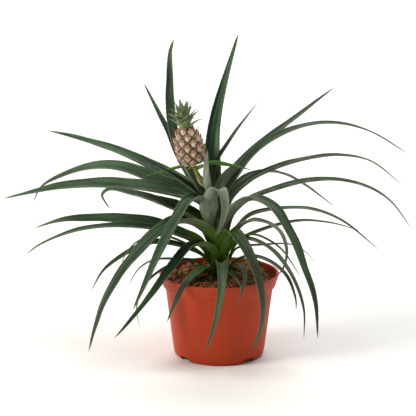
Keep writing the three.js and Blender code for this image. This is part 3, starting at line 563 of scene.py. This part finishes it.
def soil_material(name, dark, light, roughness=0.95):
    """Potting mix of peat and coir: matt dark crumbs with finer lighter flecks, lighter where the tone a piece
    carries is higher.
    """
    material, tree = new_material(name)
    # Grains of about 1 mm, and dust finer than that.
    grain = pattern(tree, 700, 5, 0.7)
    share = put(tree, "MapRange", {0: grain, 1: 0.35, 2: 0.7, 4: 0.6})
    share = put(tree, "Math", {0: "tone", 1: 0.6, 2: share}, use_clamp=True, **TIMES_PLUS)
    mixed = put(tree, "Mix", {0: share, 6: dark, 7: light}, **COLOUR)
    return finish(material, mixed, roughness, grain, 0.8, 0.6, {"IOR": 1.4})


def stem_material():
    """Leafy stem base: fleshy green tissue, browner at the soil, damp and half matt."""
    material, tree = new_material("Stem tissue")
    streak = pattern(tree, (300, 300, 70), 3)
    height = put(tree, "SeparateXYZ", {0: put(tree, "TexCoord").outputs["Object"]}).outputs[2]
    grown = fade(tree, "#6a5a2c", "#6d8a35", height, 0.076, 0.1)
    # Painted shade: its top, deep among the young leaves, is darkened as if shaded by the leaf sheaths.
    grown = fade(tree, grown, "#1c2612", height, 0.126, 0.146)
    return finish(material, shade(tree, grown, streak, 0.3, 0.7, 0.75, 1.2), 0.6, streak, 0.4, 0.4)


def stalk_material():
    """Fruit stalk: a smooth juicy green stem, yellower up near the fruit, with a waxy shine."""
    material, tree = new_material("Fruit stalk skin")
    # Fine lengthwise streaks: round the stalk in radians, and along it in millimetres.
    streak = pattern(tree, (3, 0.1, 1), place=put(tree, "CombineXYZ", {0: "round", 1: "along_mm"}))
    grown = fade(tree, "#5e7f2e", "#98a648", "along", 0.2, 1)
    return finish(material, shade(tree, grown, streak, 0.3, 0.7, 0.8, 1.15), 0.42, pattern(tree, 900), 0.2, 0.2)


def rind_material():
    """Young pineapple rind: each eye is a pink and cream plate under a bloom of grey wax, browned towards
    its point, and the seams between eyes are olive green."""
    material, tree = new_material("Pineapple rind")
    # Mottling about 1.5 mm across, and specks of 0.5 mm.
    mottle = pattern(tree, 650, 4, 0.65)
    flesh = fade(tree, "#b48d70", "#fff6ea", mottle, 0.4, 0.6)
    # The upper half of each eye is rusty, the more so towards its point.
    rust = put(tree, "Math", {0: mottle, 1: 0.9, 2: "tall"}, **TIMES_PLUS)
    own = shade(tree, fade(tree, flesh, "#9a5236", rust, 0.95, 1.4, 0.8), "tone", 0, 1, 0.88, 1.12)
    uneven = put(tree, "Math", {0: mottle, 1: 0.7, 2: "seam"}, **TIMES_PLUS)
    return finish(material, fade(tree, own, "#3f4a12", uneven, 0.85, 1.2), 0.55, mottle, 0.5, 0.4, {"IOR": 1.45})


def papery_material(name, foot, body, tip):
    """Drying bract: thin papery tissue, pink and cream at its foot and rust brown at its point."""
    material, tree = new_material(name)
    mottle = pattern(tree, 900, 3)
    share = put(tree, "Math", {0: mottle, 1: 0.35, 2: "along"}, **TIMES_PLUS)
    colour = fade(tree, fade(tree, foot, body, share, 0.1, 0.6), tip, share, 0.6, 1)
    return finish(material, colour, 0.6, mottle, 0.4, 0.3)


def floor_material(colour):
    """Matt white studio card, with only the faintest tooth."""
    material, tree = new_material("Matt studio card")
    return finish(material, (*colour, 1), 0.9, pattern(tree, 1500), 0.05, 0.1, {"Specular IOR Level": 0.2})


# ------------------------------------------------------------------ settings
LENGTH = {"precision": 5, "unit": "LENGTH", "subtype": "DISTANCE"}
TINT = {"size": 3, "max": 1.0, "subtype": "COLOR"}
POWER = {"unit": "POWER"}


def setting(kind, name, description, default, **limits):
    """A property of one of the groups below, never less than zero. Lengths are in metres."""
    return kind(name=name, description=description, default=default, min=0, **limits)


class PineapplePotSettings(bpy.types.PropertyGroup):
    colour: setting(FloatVectorProperty, "Plastic colour", "Dye of the moulded pot", linear("#b43c16"), **TINT)
    roughness: setting(FloatProperty, "Roughness", "How matt the plastic is", 0.5, max=1.0)
    corner: setting(FloatProperty, "Edge radius", "Rounding of the moulded edges", 0.7 * MM, **LENGTH)


class PineappleSoilSettings(bpy.types.PropertyGroup):
    lumps: setting(FloatProperty, "Lump height", "How far the surface of the mix rises and falls", 1.6 * MM, **LENGTH)
    crumbs: setting(IntProperty, "Crumbs", "Loose crumbs on the mix", 1500)
    fibres: setting(IntProperty, "Fibres", "Loose coir fibres on the mix", 150)
    grit: setting(IntProperty, "White grit", "White perlite grains on the mix", 7)


class PineappleLeafSettings(bpy.types.PropertyGroup):
    middle: setting(FloatProperty, "Middle thickness", "Thickness along the middle of a leaf", 1.0 * MM, **LENGTH)
    edge: setting(FloatProperty, "Margin thickness", "Thickness at a leaf's margin", 0.35 * MM, **LENGTH)
    ribs: setting(FloatProperty, "Rib height", "Height of the fine lengthwise ribs", 0.07 * MM, **LENGTH)
    ripple: setting(FloatProperty, "Margin ripple", "How far the margins wander", 0.5 * MM, **LENGTH)
    tooth: setting(FloatProperty, "Tooth", "How far the margin's small teeth stand out", 0.35 * MM, **LENGTH)


class PineappleFruitSettings(bpy.types.PropertyGroup):
    rise: setting(FloatProperty, "Eye rise", "How far each eye stands above the seams round it",
                  EYE_RISE * MM, **LENGTH)
    bract: setting(FloatProperty, "Bract length", "Length of the pointed bract on each eye", 7.6 * MM, **LENGTH)
    crown_lean: FloatProperty(name="Crown lean", description="Lean of the crown about Y",
                              default=math.radians(CROWN_LEAN), subtype="ANGLE")


class PineappleStageSettings(bpy.types.PropertyGroup):
    floor: setting(FloatVectorProperty, "Floor colour", "Colour of the studio card", linear("#f2f1ee"), **TINT)
    key: setting(FloatProperty, "Key light", "Power of the large soft light on the left", 60.0, **POWER)
    fill: setting(FloatProperty, "Fill light", "Power of the weak light on the right", 1.0, **POWER)
    back: setting(FloatProperty, "Backdrop light", "Power of the light on the far floor", 150.0, **POWER)
    world: setting(FloatProperty, "Surrounding light", "Strength of the even light from all round", 0.16, max=10.0)


# ------------------------------------------------------------------ operators
class PINEAPPLE_OT_pot(bpy.types.Operator):
    """Makes the moulded nursery pot with its flared collar and drainage notches"""
    bl_idname = "pineapple.pot"
    bl_label = "Pot"

    def execute(self, context):
        settings = context.scene.pineapple_pot
        wall = turned(rounded([(0, 0), *POT_OUTSIDE, *POT_INSIDE, (0, 1.8)], settings.corner / MM), POT_SIDES)
        plastic = pot_material(settings.colour, settings.roughness)
        made = Shape().add(*wall).piece("nursery_pot", plastic, "pot", "pot")
        # Each notch is an arched outline, swept outwards through the foot of the wall.
        half, top, bend = NOTCH_WIDTH / 2, NOTCH_HEIGHT, NOTCH_ROUNDING
        right = [(half, -2), (half, top - bend), (half - 0.5, top - 0.5), (half - bend, top)]
        outline = [*right, *((-y, z) for y, z in right[::-1])]
        notches = Shape()
        for i in range(NOTCHES):
            turn = np.array(Matrix.Rotation(math.radians(NOTCH_FIRST + 360 / NOTCHES * i), 3, "Z"))
            notches.add(*skin(np.array([[(r, y, z) for y, z in outline] for r in NOTCH_REACH]) @ turn.T))
        tool = bpy.data.objects.new("notch_cutter", notches.mesh("notch_cutter"))
        context.scene.collection.objects.link(tool)
        cut = made.modifiers.new("Notches", "BOOLEAN")
        cut.operation, cut.solver, cut.object = "DIFFERENCE", "EXACT", tool
        mesh = bpy.data.meshes.new_from_object(made.evaluated_get(context.evaluated_depsgraph_get()))
        made.modifiers.clear()
        made.data = mesh
        mesh.name = "nursery_pot"
        bpy.data.meshes.remove(tool.data)
        mesh.shade_smooth()
        mesh.set_sharp_from_angle(angle=math.radians(38))
        if len(mesh.polygons) < 1000:
            raise RuntimeError("the drainage notches could not be cut")
        return {"FINISHED"}


def soil_height(radius):
    """Height of the mix at a distance from the stem, before its lumps."""
    return np.interp(radius, *zip(*sorted(SOIL_TOP)))


def lump(x, y, size):
    """Repeatable rise and fall of the mix at a spot, in broad swells and finer crumbs, by about size."""
    fine = Vector((x / 2.6, y / 2.6, 7.7))
    swell = noise.noise(Vector((x / 9, y / 9, 3.1)))
    return size * (swell + 0.75 * noise.noise(fine) + 0.4 * noise.noise(fine * 2.3))


class PINEAPPLE_OT_soil(bpy.types.Operator):
    """Makes the peat and coir mix with its crumbs, fibres and white grit"""
    bl_idname = "pineapple.soil"
    bl_label = "Potting mix"

    def execute(self, context):
        settings = context.scene.pineapple_soil
        lumps = settings.lumps / MM
        rng = np.random.default_rng(11)

        def spot(reach):
            """A radius and a heading, spread evenly over the ring between two radii."""
            return math.sqrt(rng.uniform(reach[0] ** 2, reach[1] ** 2)), rng.uniform(0, 2 * math.pi)

        def on_mix(r, a, above):
            x, y = r * math.cos(a), r * math.sin(a)
            return x, y, soil_height(r) + lump(x, y, lumps) + above

        # The body of the mix, from the middle of its foot: plain sides, a lumpy top, and the stem's hole.
        angle = turns(SOIL_SIDES)
        side, radii = np.array(SOIL_SIDE), np.linspace(SOIL_EDGE, SOIL_HOLE[0] + 0.2, 78)
        calm = smooth(SOIL_HOLE[0], 12, radii) * (1 - 0.8 * smooth(52, SOIL_EDGE, radii))
        top = polar(radii[:, None], angle, 0.0)
        rise = calm[:, None] * [[lump(x, y, lumps) for x, y, _ in ring] for ring in top]
        top[..., 2] = soil_height(radii)[:, None] + rise
        hole = polar(SOIL_HOLE[0], angle, SOIL_HOLE[1])
        # Painted light and shade: the mix's top is lighter where it rises, darker in its hollows and the stem's hole.
        tone = np.concatenate([np.full(side.shape[0] * SOIL_SIDES, 0.15), 0.15 + 0.3 * rise.ravel(),
                               np.full(SOIL_SIDES, 0.1)])
        mix = soil_material("Peat and coir mix", "#2c190f", "#b27648")
        body = skin(np.vstack([polar(side[:, :1], angle, side[:, 1:]), top, hole[None]]))
        Shape().add(*body, tone=tone).piece("potting_mix", mix, "soil", "soil")

        crumbs = Shape()
        ball = bmesh.new()
        bmesh.ops.create_icosphere(ball, subdivisions=2, radius=1)
        knob = np.array([v.co[:] for v in ball.verts])
        knob_faces = [[v.index for v in f.verts] for f in ball.faces]
        ball.free()
        for _ in range(settings.crumbs):
            size = CRUMB_SIZES[0] + (CRUMB_SIZES[1] - CRUMB_SIZES[0]) * rng.random() ** 3
            r, a = spot(CRUMB_RANGE)
            r = min(r, SOIL_EDGE + 0.1 - 1.7 * size)  # clear of the pot's wall
            rough = 1 + 0.24 * rng.standard_normal(len(knob))[:, None]
            lobes = 1 + 0.25 * np.sin(knob @ rng.uniform(-4, 4, 3) + rng.uniform(0, 6))[:, None]
            turn = np.array(Matrix.Rotation(rng.uniform(0, 6.28), 3, Vector(rng.standard_normal(3)).normalized()))
            body = (knob * rough * lobes * size * rng.uniform(0.55, 1.2, 3)) @ turn.T
            crumbs.add(body + on_mix(r, a, size * 0.3), knob_faces, tone=rng.uniform(0.0, 1.0) ** 1.4)
        crumbs.piece("mix_crumbs", mix, "soil")

        threads = Shape()
        s = np.linspace(0, 1, 9)
        for _ in range(settings.fibres):
            r, a = spot(FIBRE_RANGE)
            heading = rng.uniform(0, 2 * math.pi)
            span = rng.uniform(3, 11)
            way = heading + rng.uniform(-1.2, 1.2) * s
            x = r * math.cos(a) + np.cumsum(np.cos(way)) * span / 9
            y = r * math.sin(a) + np.cumsum(np.sin(way)) * span / 9
            inside = np.minimum(1, FIBRE_LIMIT / np.hypot(x, y))
            x, y = x * inside, y * inside
            ground = soil_height(np.hypot(x, y)) + [lump(p, q, lumps) for p, q in zip(x, y)]
            z = ground + 0.4 + rng.uniform(0.1, 1.4) * np.sin(np.pi * s)
            add_cord(threads, np.column_stack([x, y, z]), rng.uniform(0.11, 0.22), 5, tone=rng.uniform(0.3, 1.0))
        threads.piece("coir_fibres", soil_material("Coir fibre", "#5a3620", "#a5754a", 0.8), "soil")

        grit = Shape()
        for i in range(settings.grit):
            size = rng.uniform(0.4, 0.85)
            r, a = spot(GRIT_RANGE)
            if i < len(GRIT_IN_FRONT):
                r, a = GRIT_IN_FRONT[i][0], math.radians(GRIT_IN_FRONT[i][1])
            body = knob * (1 + 0.12 * rng.standard_normal(len(knob))[:, None]) * size * rng.uniform(0.7, 1.1, 3)
            grit.add(body + on_mix(r, a, size * 0.8), knob_faces, tone=rng.uniform(0.4, 1))
        grit.piece("perlite_grit", soil_material("Expanded perlite", "#b9b3a8", "#f0ede6", 0.85), "soil")
        return {"FINISHED"}


class PINEAPPLE_OT_stem(bpy.types.Operator):
    """Makes the short leafy stem with the rings where its first leaves were shed"""
    bl_idname = "pineapple.stem"
    bl_label = "Stem"

    def execute(self, context):
        r, z = follow(STEM_PROFILE, 110)[0].T[..., None]
        angle = turns(STEM_SIDES)
        scar = 0.35 * np.maximum(0, np.sin(z * 2 * math.pi / 4.2)) ** 3 * (z < 150)
        wave = 0.25 * np.sin(3 * angle + z / 7) + 0.12 * np.sin(7 * angle - z / 3)
        Shape().add(*skin(polar(r + scar + wave, angle, z))).piece("leafy_stem", stem_material(), "stem", "stem")
        return {"FINISHED"}


class PINEAPPLE_OT_foot_leaves(bpy.types.Operator):
    """Makes the few small curled leaves that lie on the mix round the stem's foot"""
    bl_idname = "pineapple.foot_leaves"
    bl_label = "Small foot leaves"

    def execute(self, context):
        rng = np.random.default_rng(61)
        shape = Shape()
        for heading, reach, rise, drop, wide in FOOT_LEAVES:
            knots = [(7.5, 80), (9 + reach * 0.12, 80 + rise * 0.8), (9 + reach * 0.45, 80 + rise),
                     (9 + reach * 0.8, 80 + rise * 0.75), (9 + reach, 80 - drop)]
            flat, s, span = follow(knots, 40)
            way = math.radians(heading) + rng.uniform(-0.5, 0.5) * s**2
            half = np.maximum(wide / 2 * (0.8 + 0.3 * np.sin(np.pi * s)) * (1 - s**2.5), 0.15)
            strap(shape, polar(flat[:, 0], way, flat[:, 1]), s, span, way, half, 50, 0.7 * (1 - 0.4 * s), 0.3,
                  roll=0.5 * wander(rng, s * span, 9), tone=rng.uniform(0, 1), scurf=0.25, fresh=0.7)
        shape.piece("foot_leaves", leaf_material("Young foot leaf", FOOT_LEAF, 0.42, (0, 14)), "leaf")
        return {"FINISHED"}


def add_leaf(shape, name, az, wide, arch, seed, settings):
    """Adds one strap leaf: a narrow clasping foot, a hollow arching blade and a long fine point."""
    rng = np.random.default_rng(seed)
    span = follow(arch, 10)[2]
    path, s, span = follow(arch, int(np.clip(span / RING_SPACING, *RINGS)))
    headings = np.radians(along(az, s) + ROUND_STEM.get(name, 0) * (1 - smooth(0, TURN_LENGTH, s * span)))
    if path.shape[1] == 2:
        path = polar(path[:, 0], headings, path[:, 1])
    rolls = np.radians(along(ROLLS.get(name, (0, 0, 0)), s)) + np.radians(3) * wander(rng, s * span, 60) * s
    # The foot runs on down inside the stem for a few millimetres.
    inward = np.array([*(-ROOT_INWARD * unit(path[0, :2])), -ROOT_DOWN])
    path = np.vstack([path[0] + np.outer(np.linspace(1, 0, ROOT_RINGS, endpoint=False), inward), path])
    s, headings, rolls = (np.r_[[v[0]] * ROOT_RINGS, v] for v in (s, headings, rolls))
    reach = s * span

    start, power = TAPERS.get(name, TAPER)
    share, widening = ROOTS.get(name, ROOT)
    taper = np.where(s <= start, 0.86 + 0.14 * np.minimum(1, s / start),
                     1 - (1 - LEAF_TIP) * np.clip((s - start) / (1 - start), 0, 1) ** power)
    taper *= np.sqrt(np.minimum(1, (1 - s) / TIP_ROUNDING))
    width = wide * taper * (share + (1 - share) * smooth(0, widening, reach)) * (1 + 0.03 * wander(rng, reach, 35))
    half = np.maximum(width / 2, 0.16)

    u = np.linspace(-1, 1, LEAF_COLUMNS)
    thin = np.minimum(1, half / 4)[:, None]
    ribs = np.array([wander(rng, reach, 45) for _ in u]).T
    relief = (settings.ribs / MM * ribs * (1 - u**4) - FOLD_DEPTH * np.exp(-((u / FOLD_WIDTH) ** 2))) * thin
    ripple = settings.ripple / MM * min(1.6, 0.35 + 0.07 * wide)
    for spacing, hand in zip(RIPPLE_SPACINGS, (1, -1)):
        relief += ripple * thin * np.outer(wander(rng, reach, spacing), np.clip(hand * u, 0, 1) ** 2)
    if name in CRINKLED:
        folds = np.array([wander(rng, reach + 3 * abs(x) * LEAF_COLUMNS, 6.5) for x in u]).T
        crinkle = CRINKLED[name] * smooth(8, 22, reach) * (1 - smooth(0.5, 0.8, s))
        relief += 0.55 * folds * thin * crinkle[:, None]
    tooth = settings.tooth / MM * min(1.0, wide / 12)
    teeth = np.zeros((len(s), 2))
    for k in (0, 1):
        at = np.arange(ROOT_RINGS + 6 + k, len(s) - 6, TOOTH_SPACING)
        teeth[at, k] = tooth * rng.uniform(0.3, 1.0, len(at))
    middle = (settings.middle / MM * (1 - 0.45 * s)) * np.minimum(1, 0.35 + half / 3)
    # Leaves from the green foot of the stem are bare of scurf at their own feet, and the upper ones grey.
    fresh = (1 - 0.92 * smooth(*FRESH_BELOW, path[ROOT_RINGS, 2])) * FOOT_FADE_AND_PAINTED_SHADE.get(name, 1)
    scurf = SCURF_AND_PAINTED_LIGHT.get(name, rng.uniform(0, 0.14)) * (1 - fresh * (1 - smooth(0.12, 0.36, s)))
    if name in GREY_FEET:
        scurf = np.maximum(scurf, 0.75 * (1 - smooth(18, 75, reach)))
    if name in PALE_BAND:
        scurf = np.maximum(scurf, 0.95 * np.exp(-(((reach - PALE_BAND[name]) / 10) ** 2)))
    strap(shape, path, s, span, headings, half, 2 * along(GUTTERS.get(name, GUTTER), s), middle,
          np.minimum(settings.edge / MM, middle * 0.8), rolls, LEAF_COLUMNS, relief, teeth, tone=rng.uniform(0, 1),
          scurf=scurf, dry=DRY.get(name, 0.0), fresh=fresh)


class PINEAPPLE_OT_leaves(bpy.types.Operator):
    """Makes the rosette of arching strap leaves, one piece to a leaf"""
    bl_idname = "pineapple.leaves"
    bl_label = "Strap leaves"

    def execute(self, context):
        green = leaf_material("Pineapple leaf, waxed green", GREEN_LEAF)
        for index, (name, *measures) in enumerate(LEAVES):
            shape = Shape()
            add_leaf(shape, name, *measures, 100 + index, context.scene.pineapple_leaf)
            shape.piece("blade_" + name, green, "leaf", "leaf_" + name)
        return {"FINISHED"}


class PINEAPPLE_OT_stalk(bpy.types.Operator):
    """Makes the juicy stalk that carries the fruit, with its thin green bracts"""
    bl_idname = "pineapple.stalk"
    bl_label = "Fruit stalk and bracts"

    def execute(self, context):
        path, s, _ = follow(STALK_PATH, 60)
        rng = np.random.default_rng(21)
        shape = Shape()
        add_cord(shape, path, STALK_RADIUS * (1 - 0.12 * np.sin(np.pi * s)) + 0.5 * smooth(0.86, 1, s), STALK_SIDES)
        shape.piece("fruit_stem", stalk_material(), "stalk", "fruit_stalk")
        bracts = Shape()
        for wide, knots in BRACTS:
            path, s, span = follow(knots, 50)
            # The bract turns its upper face to the front as it leaves the stalk.
            roll = math.radians(BRACT_ROLL) * smooth(0.1, 0.45, s) * np.sign(path[-1, 0] - path[0, 0])
            half = np.maximum(wide / 2 * 1.25 * (1 - s**1.7) * (0.7 + 0.3 * smooth(0, 0.2, s)), 0.12)
            strap(bracts, path, s, span, np.cross([0.0, 0.0, 1.0], np.gradient(path, axis=0)), half, 60,
                  0.6 * (1 - 0.5 * s), 0.3 * (1 - 0.4 * s), roll, tone=rng.uniform(0, 1), scurf=0.1,
                  dry=0.75 if wide < 3.5 else 0.0, fresh=1.0)
        bracts.piece("stalk_bracts", leaf_material("Stalk bract, fresh green", BRACT_LEAF, 0.45, (4, 20)), "stalk")
        scales = Shape()
        for wide, knots in STALK_SCALES:
            path, s, span = follow(knots, 24)
            half = np.maximum(wide / 2 * (0.7 + 0.5 * np.sin(np.pi * s)) * (1 - s**3), 0.12)
            strap(scales, path, s, span, math.radians(-70), half, 60, 0.5, 0.25, columns=7)
        scales.piece("stalk_scales", papery_material("Dry stalk bract", "#8f9a4e", "#c9bd98", "#a5735a"), "stalk")
        return {"FINISHED"}


def add_scale(shape, centre, upward, outward, size, half, stand, rise, start):
    """Adds a pointed scale on an eye: narrow at its foot, broadest in its middle, its point standing off."""
    s = np.linspace(0, 1, 14)
    height = 0.78 * rise * np.sin(np.pi * (0.12 + 0.5 * np.minimum(1, s * 1.6))) + 0.4 + stand * s**3
    path = centre + np.outer(size * (s + start), upward) + np.outer(height, outward)
    wide = np.maximum(half * (0.3 + 0.7 * smooth(0, 0.5, s)) * (1 - smooth(0.45, 1.0, s)), 0.11)
    strap(shape, path, s, size, np.cross(np.gradient(path, axis=0), outward), wide, 55, 0.42, 0.2, columns=7,
          seat=(FRUIT_LEAN, FRUIT_BASE))


class PINEAPPLE_OT_fruit(bpy.types.Operator):
    """Makes the fruit: a barrel of domed eyes in spirals, each with its pointed drying bract"""
    bl_idname = "pineapple.fruit"
    bl_label = "Fruit"

    def execute(self, context):
        settings = context.scene.pineapple_fruit
        rise = settings.rise / MM
        rng = np.random.default_rng(31)
        # Radius and height at equal steps up the fruit's side, with their outward normals.
        fine = follow(FRUIT_PROFILE, 190)[0]
        slope = unit(np.gradient(fine, axis=0))
        normal = np.column_stack([slope[:, 1], -slope[:, 0]])
        # The eyes' centres, spaced evenly by height and by the golden angle round the fruit.
        share = (np.arange(EYES) + 0.5) / EYES
        height = EYE_LOWEST + (EYE_HIGHEST - EYE_LOWEST) * share
        row = np.array([np.argmin(abs(fine[8:-8, 1] - h)) + 8 for h in height])
        turn = -np.arange(EYES) * GOLDEN_ANGLE - math.pi / 2
        centre, outward = (polar(v[row, 0], turn, v[row, 1]) for v in (fine, normal))
        around = polar(1, turn + np.pi / 2, 0)
        upward = np.cross(outward, around)
        tone = rng.uniform(0, 1, EYES)

        angle = turns(FRUIT_SIDES)
        k = np.arange(FRUIT_SIDES)
        rings, seams, talls, tones = [], [], [], []
        for (r, z), (nr, nz) in zip(fine[1:-1], normal[1:-1]):
            spot = polar(r, angle, z)
            gap = spot[:, None] - centre
            # Eyes are a little wider than tall.
            high = (gap * upward).sum(2)
            far = np.sqrt((gap**2).sum(2) + 0.35 * high**2)
            first, second = np.argsort(far, axis=1)[:, :2].T
            spread = np.linalg.norm(centre[first] - centre[second], axis=1)
            border = (far[k, second] ** 2 - far[k, first] ** 2) / (2 * spread)
            dome = 1 - np.exp(-((border / SEAM_WIDTH) ** 2))
            up_share, side_share = (v[k, first] / EYE_REACH for v in (high, (gap * around).sum(2)))
            # A plate with a raised lip towards its top and a keel up its middle.
            lift = rise * (0.8 + 0.2 * up_share) + 0.6 * np.exp(-(side_share / 0.3) ** 2)
            crease = 0.12 * np.sin(side_share * 9 + tone[first] * 6)
            rough = 0.12 * rng.standard_normal(FRUIT_SIDES)
            rings.append(spot + polar(nr, angle, nz) * ((lift + crease + rough) * dome - 0.35)[:, None])
            seams.append(np.maximum(1 - smooth(0.2, 1.3, border), 0.75 * smooth(0.3, 0.62, abs(side_share))))
            talls.append(np.clip(0.5 + 0.5 * up_share, 0, 1))
            tones.append(tone[first])
        points, faces = skin(np.array(rings), [[0, 0, -0.2], [0, 0, FRUIT_PROFILE[-1][1] + 0.2]])
        body = Shape().add(lean(points, FRUIT_LEAN, FRUIT_BASE), faces, seam=np.r_[np.ravel(seams), 1, 1],
                           tall=np.r_[np.ravel(talls), 0, 0], tone=np.r_[np.ravel(tones), 0.5, 0.5])
        body.piece("fruit_eyes", rind_material(), "fruit", "fruit")

        bracts, sepals = Shape(), Shape()
        for i in range(EYES):
            small = 1 - 0.3 * (2 * share[i] - 1) ** 2
            size = settings.bract / MM * small * rng.uniform(0.88, 1.12)
            stand = rng.uniform(1.4, 3.0) + 2.2 * smooth(0.55, 0.9, share[i])
            add_scale(bracts, centre[i], upward[i], outward[i], size, 2.0 * small, stand, rise, -0.5)
            # Two short sepals show at the sides of each eye's bract.
            for hand in (-1, 1):
                way = unit(upward[i] + hand * rng.uniform(0.6, 1.0) * around[i])
                add_scale(sepals, centre[i] + 0.5 * hand * around[i], way, outward[i], size * 0.62, 1.2 * small,
                          rng.uniform(0.6, 1.4), rise * 0.9, -0.1)
        sepals.piece("eye_sepals", papery_material("Young sepal", "#7d8436", "#b3a365", "#a5573c"), "fruit")
        bracts.piece("eye_bracts", papery_material("Papery eye bract", "#e3d8c6", "#dfbfaa", "#8c4229"), "fruit")
        return {"FINISHED"}


class PINEAPPLE_OT_crown(bpy.types.Operator):
    """Makes the tuft of small stiff leaves on top of the fruit"""
    bl_idname = "pineapple.crown"
    bl_label = "Fruit crown"

    def execute(self, context):
        seat = (math.degrees(context.scene.pineapple_fruit.crown_lean),
                lean(np.array([0, 0, CROWN_FOOT]), FRUIT_LEAN, FRUIT_BASE))
        rng = np.random.default_rng(41)
        shape = Shape()
        points, faces = turned(CROWN_CORE, 24)
        shape.add(lean(points, *seat), faces, along=0.1, under=1.0, tone=0.5, scurf=0.6)
        for i in range(CROWN_LEAVES):
            share = i / (CROWN_LEAVES - 1)  # 0 is the lowest and outermost
            reach = (18 - 11.5 * share**2) * rng.uniform(0.88, 1.08)
            rise = (7 + 6.5 * share) * rng.uniform(0.9, 1.1)
            low = -0.5 + 15 * share
            knots = [(2.2, low), (2.8 + reach * 0.22, low + rise * 0.42), (1.6 + reach * 0.56, low + rise * 0.8),
                     (reach * 0.86, low + rise), (reach, low + rise * 0.98)]
            turn = i * GOLDEN_ANGLE + rng.uniform(-0.12, 0.12)
            flat, s, span = follow(knots, 26)
            roll = np.radians(8) * wander(rng, s * span, 6)
            wide = 8.2 * (1 - 0.25 * share)
            half = np.maximum(wide / 2 * (0.8 + 0.35 * np.sin(np.pi * np.minimum(1, s * 1.8))) * (1 - s**1.5), 0.13)
            teeth = np.zeros((len(s), 2))
            teeth[4:24:2, 0] = teeth[5:24:2, 1] = 0.28
            strap(shape, polar(flat[:, 0], turn, flat[:, 1]), s, span, turn, half, 58, 0.62 * (1 - 0.5 * s),
                  0.3 * (1 - 0.4 * s), roll, teeth=teeth, seat=seat, tone=rng.uniform(0, 1),
                  scurf=rng.uniform(0.1, 0.5), dry=smooth(0.6, 1.0, s) * rng.uniform(0.4, 1.0), fresh=1.0)
        green = leaf_material("Crown leaf, grey scurf", CROWN_LEAF, 0.5, (1, 8))
        shape.piece("crown_tuft", green, "crown", "fruit_crown")
        return {"FINISHED"}


class PINEAPPLE_OT_stage(bpy.types.Operator):
    """Makes the pale floor, the soft lights and the camera"""
    bl_idname = "pineapple.stage"
    bl_label = "Stage"

    def execute(self, context):
        settings = context.scene.pineapple_stage
        scene = context.scene

        def add(name, data, place=(0, 0, 0), turn=(0, 0, 0)):
            made = bpy.data.objects.new(name, data)
            made.location, made.rotation_euler = Vector(place) * MM, turn
            scene.collection.objects.link(made)
            return made

        floor = bpy.data.meshes.new("studio_floor")
        far = FLOOR_REACH * MM
        floor.from_pydata([(-far, -far, 0), (far, -far, 0), (far, far, 0), (-far, far, 0)], [], [(0, 1, 2, 3)])
        floor.materials.append(floor_material(settings.floor))
        add("studio_floor", floor)

        watts = (settings.key, settings.fill, settings.key * TOP_SHARE, settings.back)
        for (name, place, target, size, colour), energy in zip(LIGHTS, watts):
            data = bpy.data.lights.new(name, "AREA")
            data.shape, data.size, data.energy, data.color = "SQUARE", size * MM, energy, linear(colour)
            add(name, data, place, (Vector(target) - Vector(place)).to_track_quat("-Z", "Y").to_euler())

        scene.world = bpy.data.worlds.new("Studio")
        scene.world.use_nodes = True
        tree = scene.world.node_tree
        tree.nodes.clear()
        glow = put(tree, "Background", {"Color": "#fbf9f5", "Strength": settings.world})
        put(tree, "OutputWorld", {"Surface": glow})

        data = bpy.data.cameras.new("Camera")
        data.sensor_width, data.lens = 36, CAMERA_LENS
        data.clip_start, data.clip_end = 0.05, 50
        scene.camera = add("Camera", data, CAMERA_PLACE, (math.radians(90 - CAMERA_DOWN), 0, 0))
        scene.view_settings.view_transform = "Standard"
        return {"FINISHED"}


class PINEAPPLE_PT_panel(bpy.types.Panel):
    """Lists the plant's pieces and their settings"""
    bl_idname = "PINEAPPLE_PT_panel"
    bl_label = "Potted pineapple plant"
    bl_space_type = "VIEW_3D"
    bl_region_type = "UI"
    bl_category = "Plant"

    def draw(self, context):
        for group, (kind, makers) in GROUPS.items():
            box = self.layout.box()
            for name in kind.__annotations__:
                box.prop(getattr(context.scene, group), name)
            for maker in makers:
                box.operator(maker.bl_idname)


GROUPS = {
    "pineapple_pot": (PineapplePotSettings, (PINEAPPLE_OT_pot,)),
    "pineapple_soil": (PineappleSoilSettings, (PINEAPPLE_OT_soil,)),
    "pineapple_leaf": (PineappleLeafSettings, (PINEAPPLE_OT_stem, PINEAPPLE_OT_foot_leaves, PINEAPPLE_OT_leaves)),
    "pineapple_fruit": (PineappleFruitSettings, (PINEAPPLE_OT_stalk, PINEAPPLE_OT_fruit, PINEAPPLE_OT_crown)),
    "pineapple_stage": (PineappleStageSettings, (PINEAPPLE_OT_stage,)),
}


def register():
    for group, (kind, makers) in GROUPS.items():
        bpy.utils.register_class(kind)
        setattr(bpy.types.Scene, group, PointerProperty(type=kind))
        for maker in makers:
            bpy.utils.register_class(maker)
    bpy.utils.register_class(PINEAPPLE_PT_panel)


def unregister():
    bpy.utils.unregister_class(PINEAPPLE_PT_panel)
    for group, (kind, makers) in reversed(GROUPS.items()):
        for maker in reversed(makers):
            bpy.utils.unregister_class(maker)
        delattr(bpy.types.Scene, group)
        bpy.utils.unregister_class(kind)


def main():
    register()
    for _, makers in GROUPS.values():
        for maker in makers:
            getattr(bpy.ops.pineapple, maker.bl_idname.split(".")[1])()


if __name__ == "__main__":
    main()
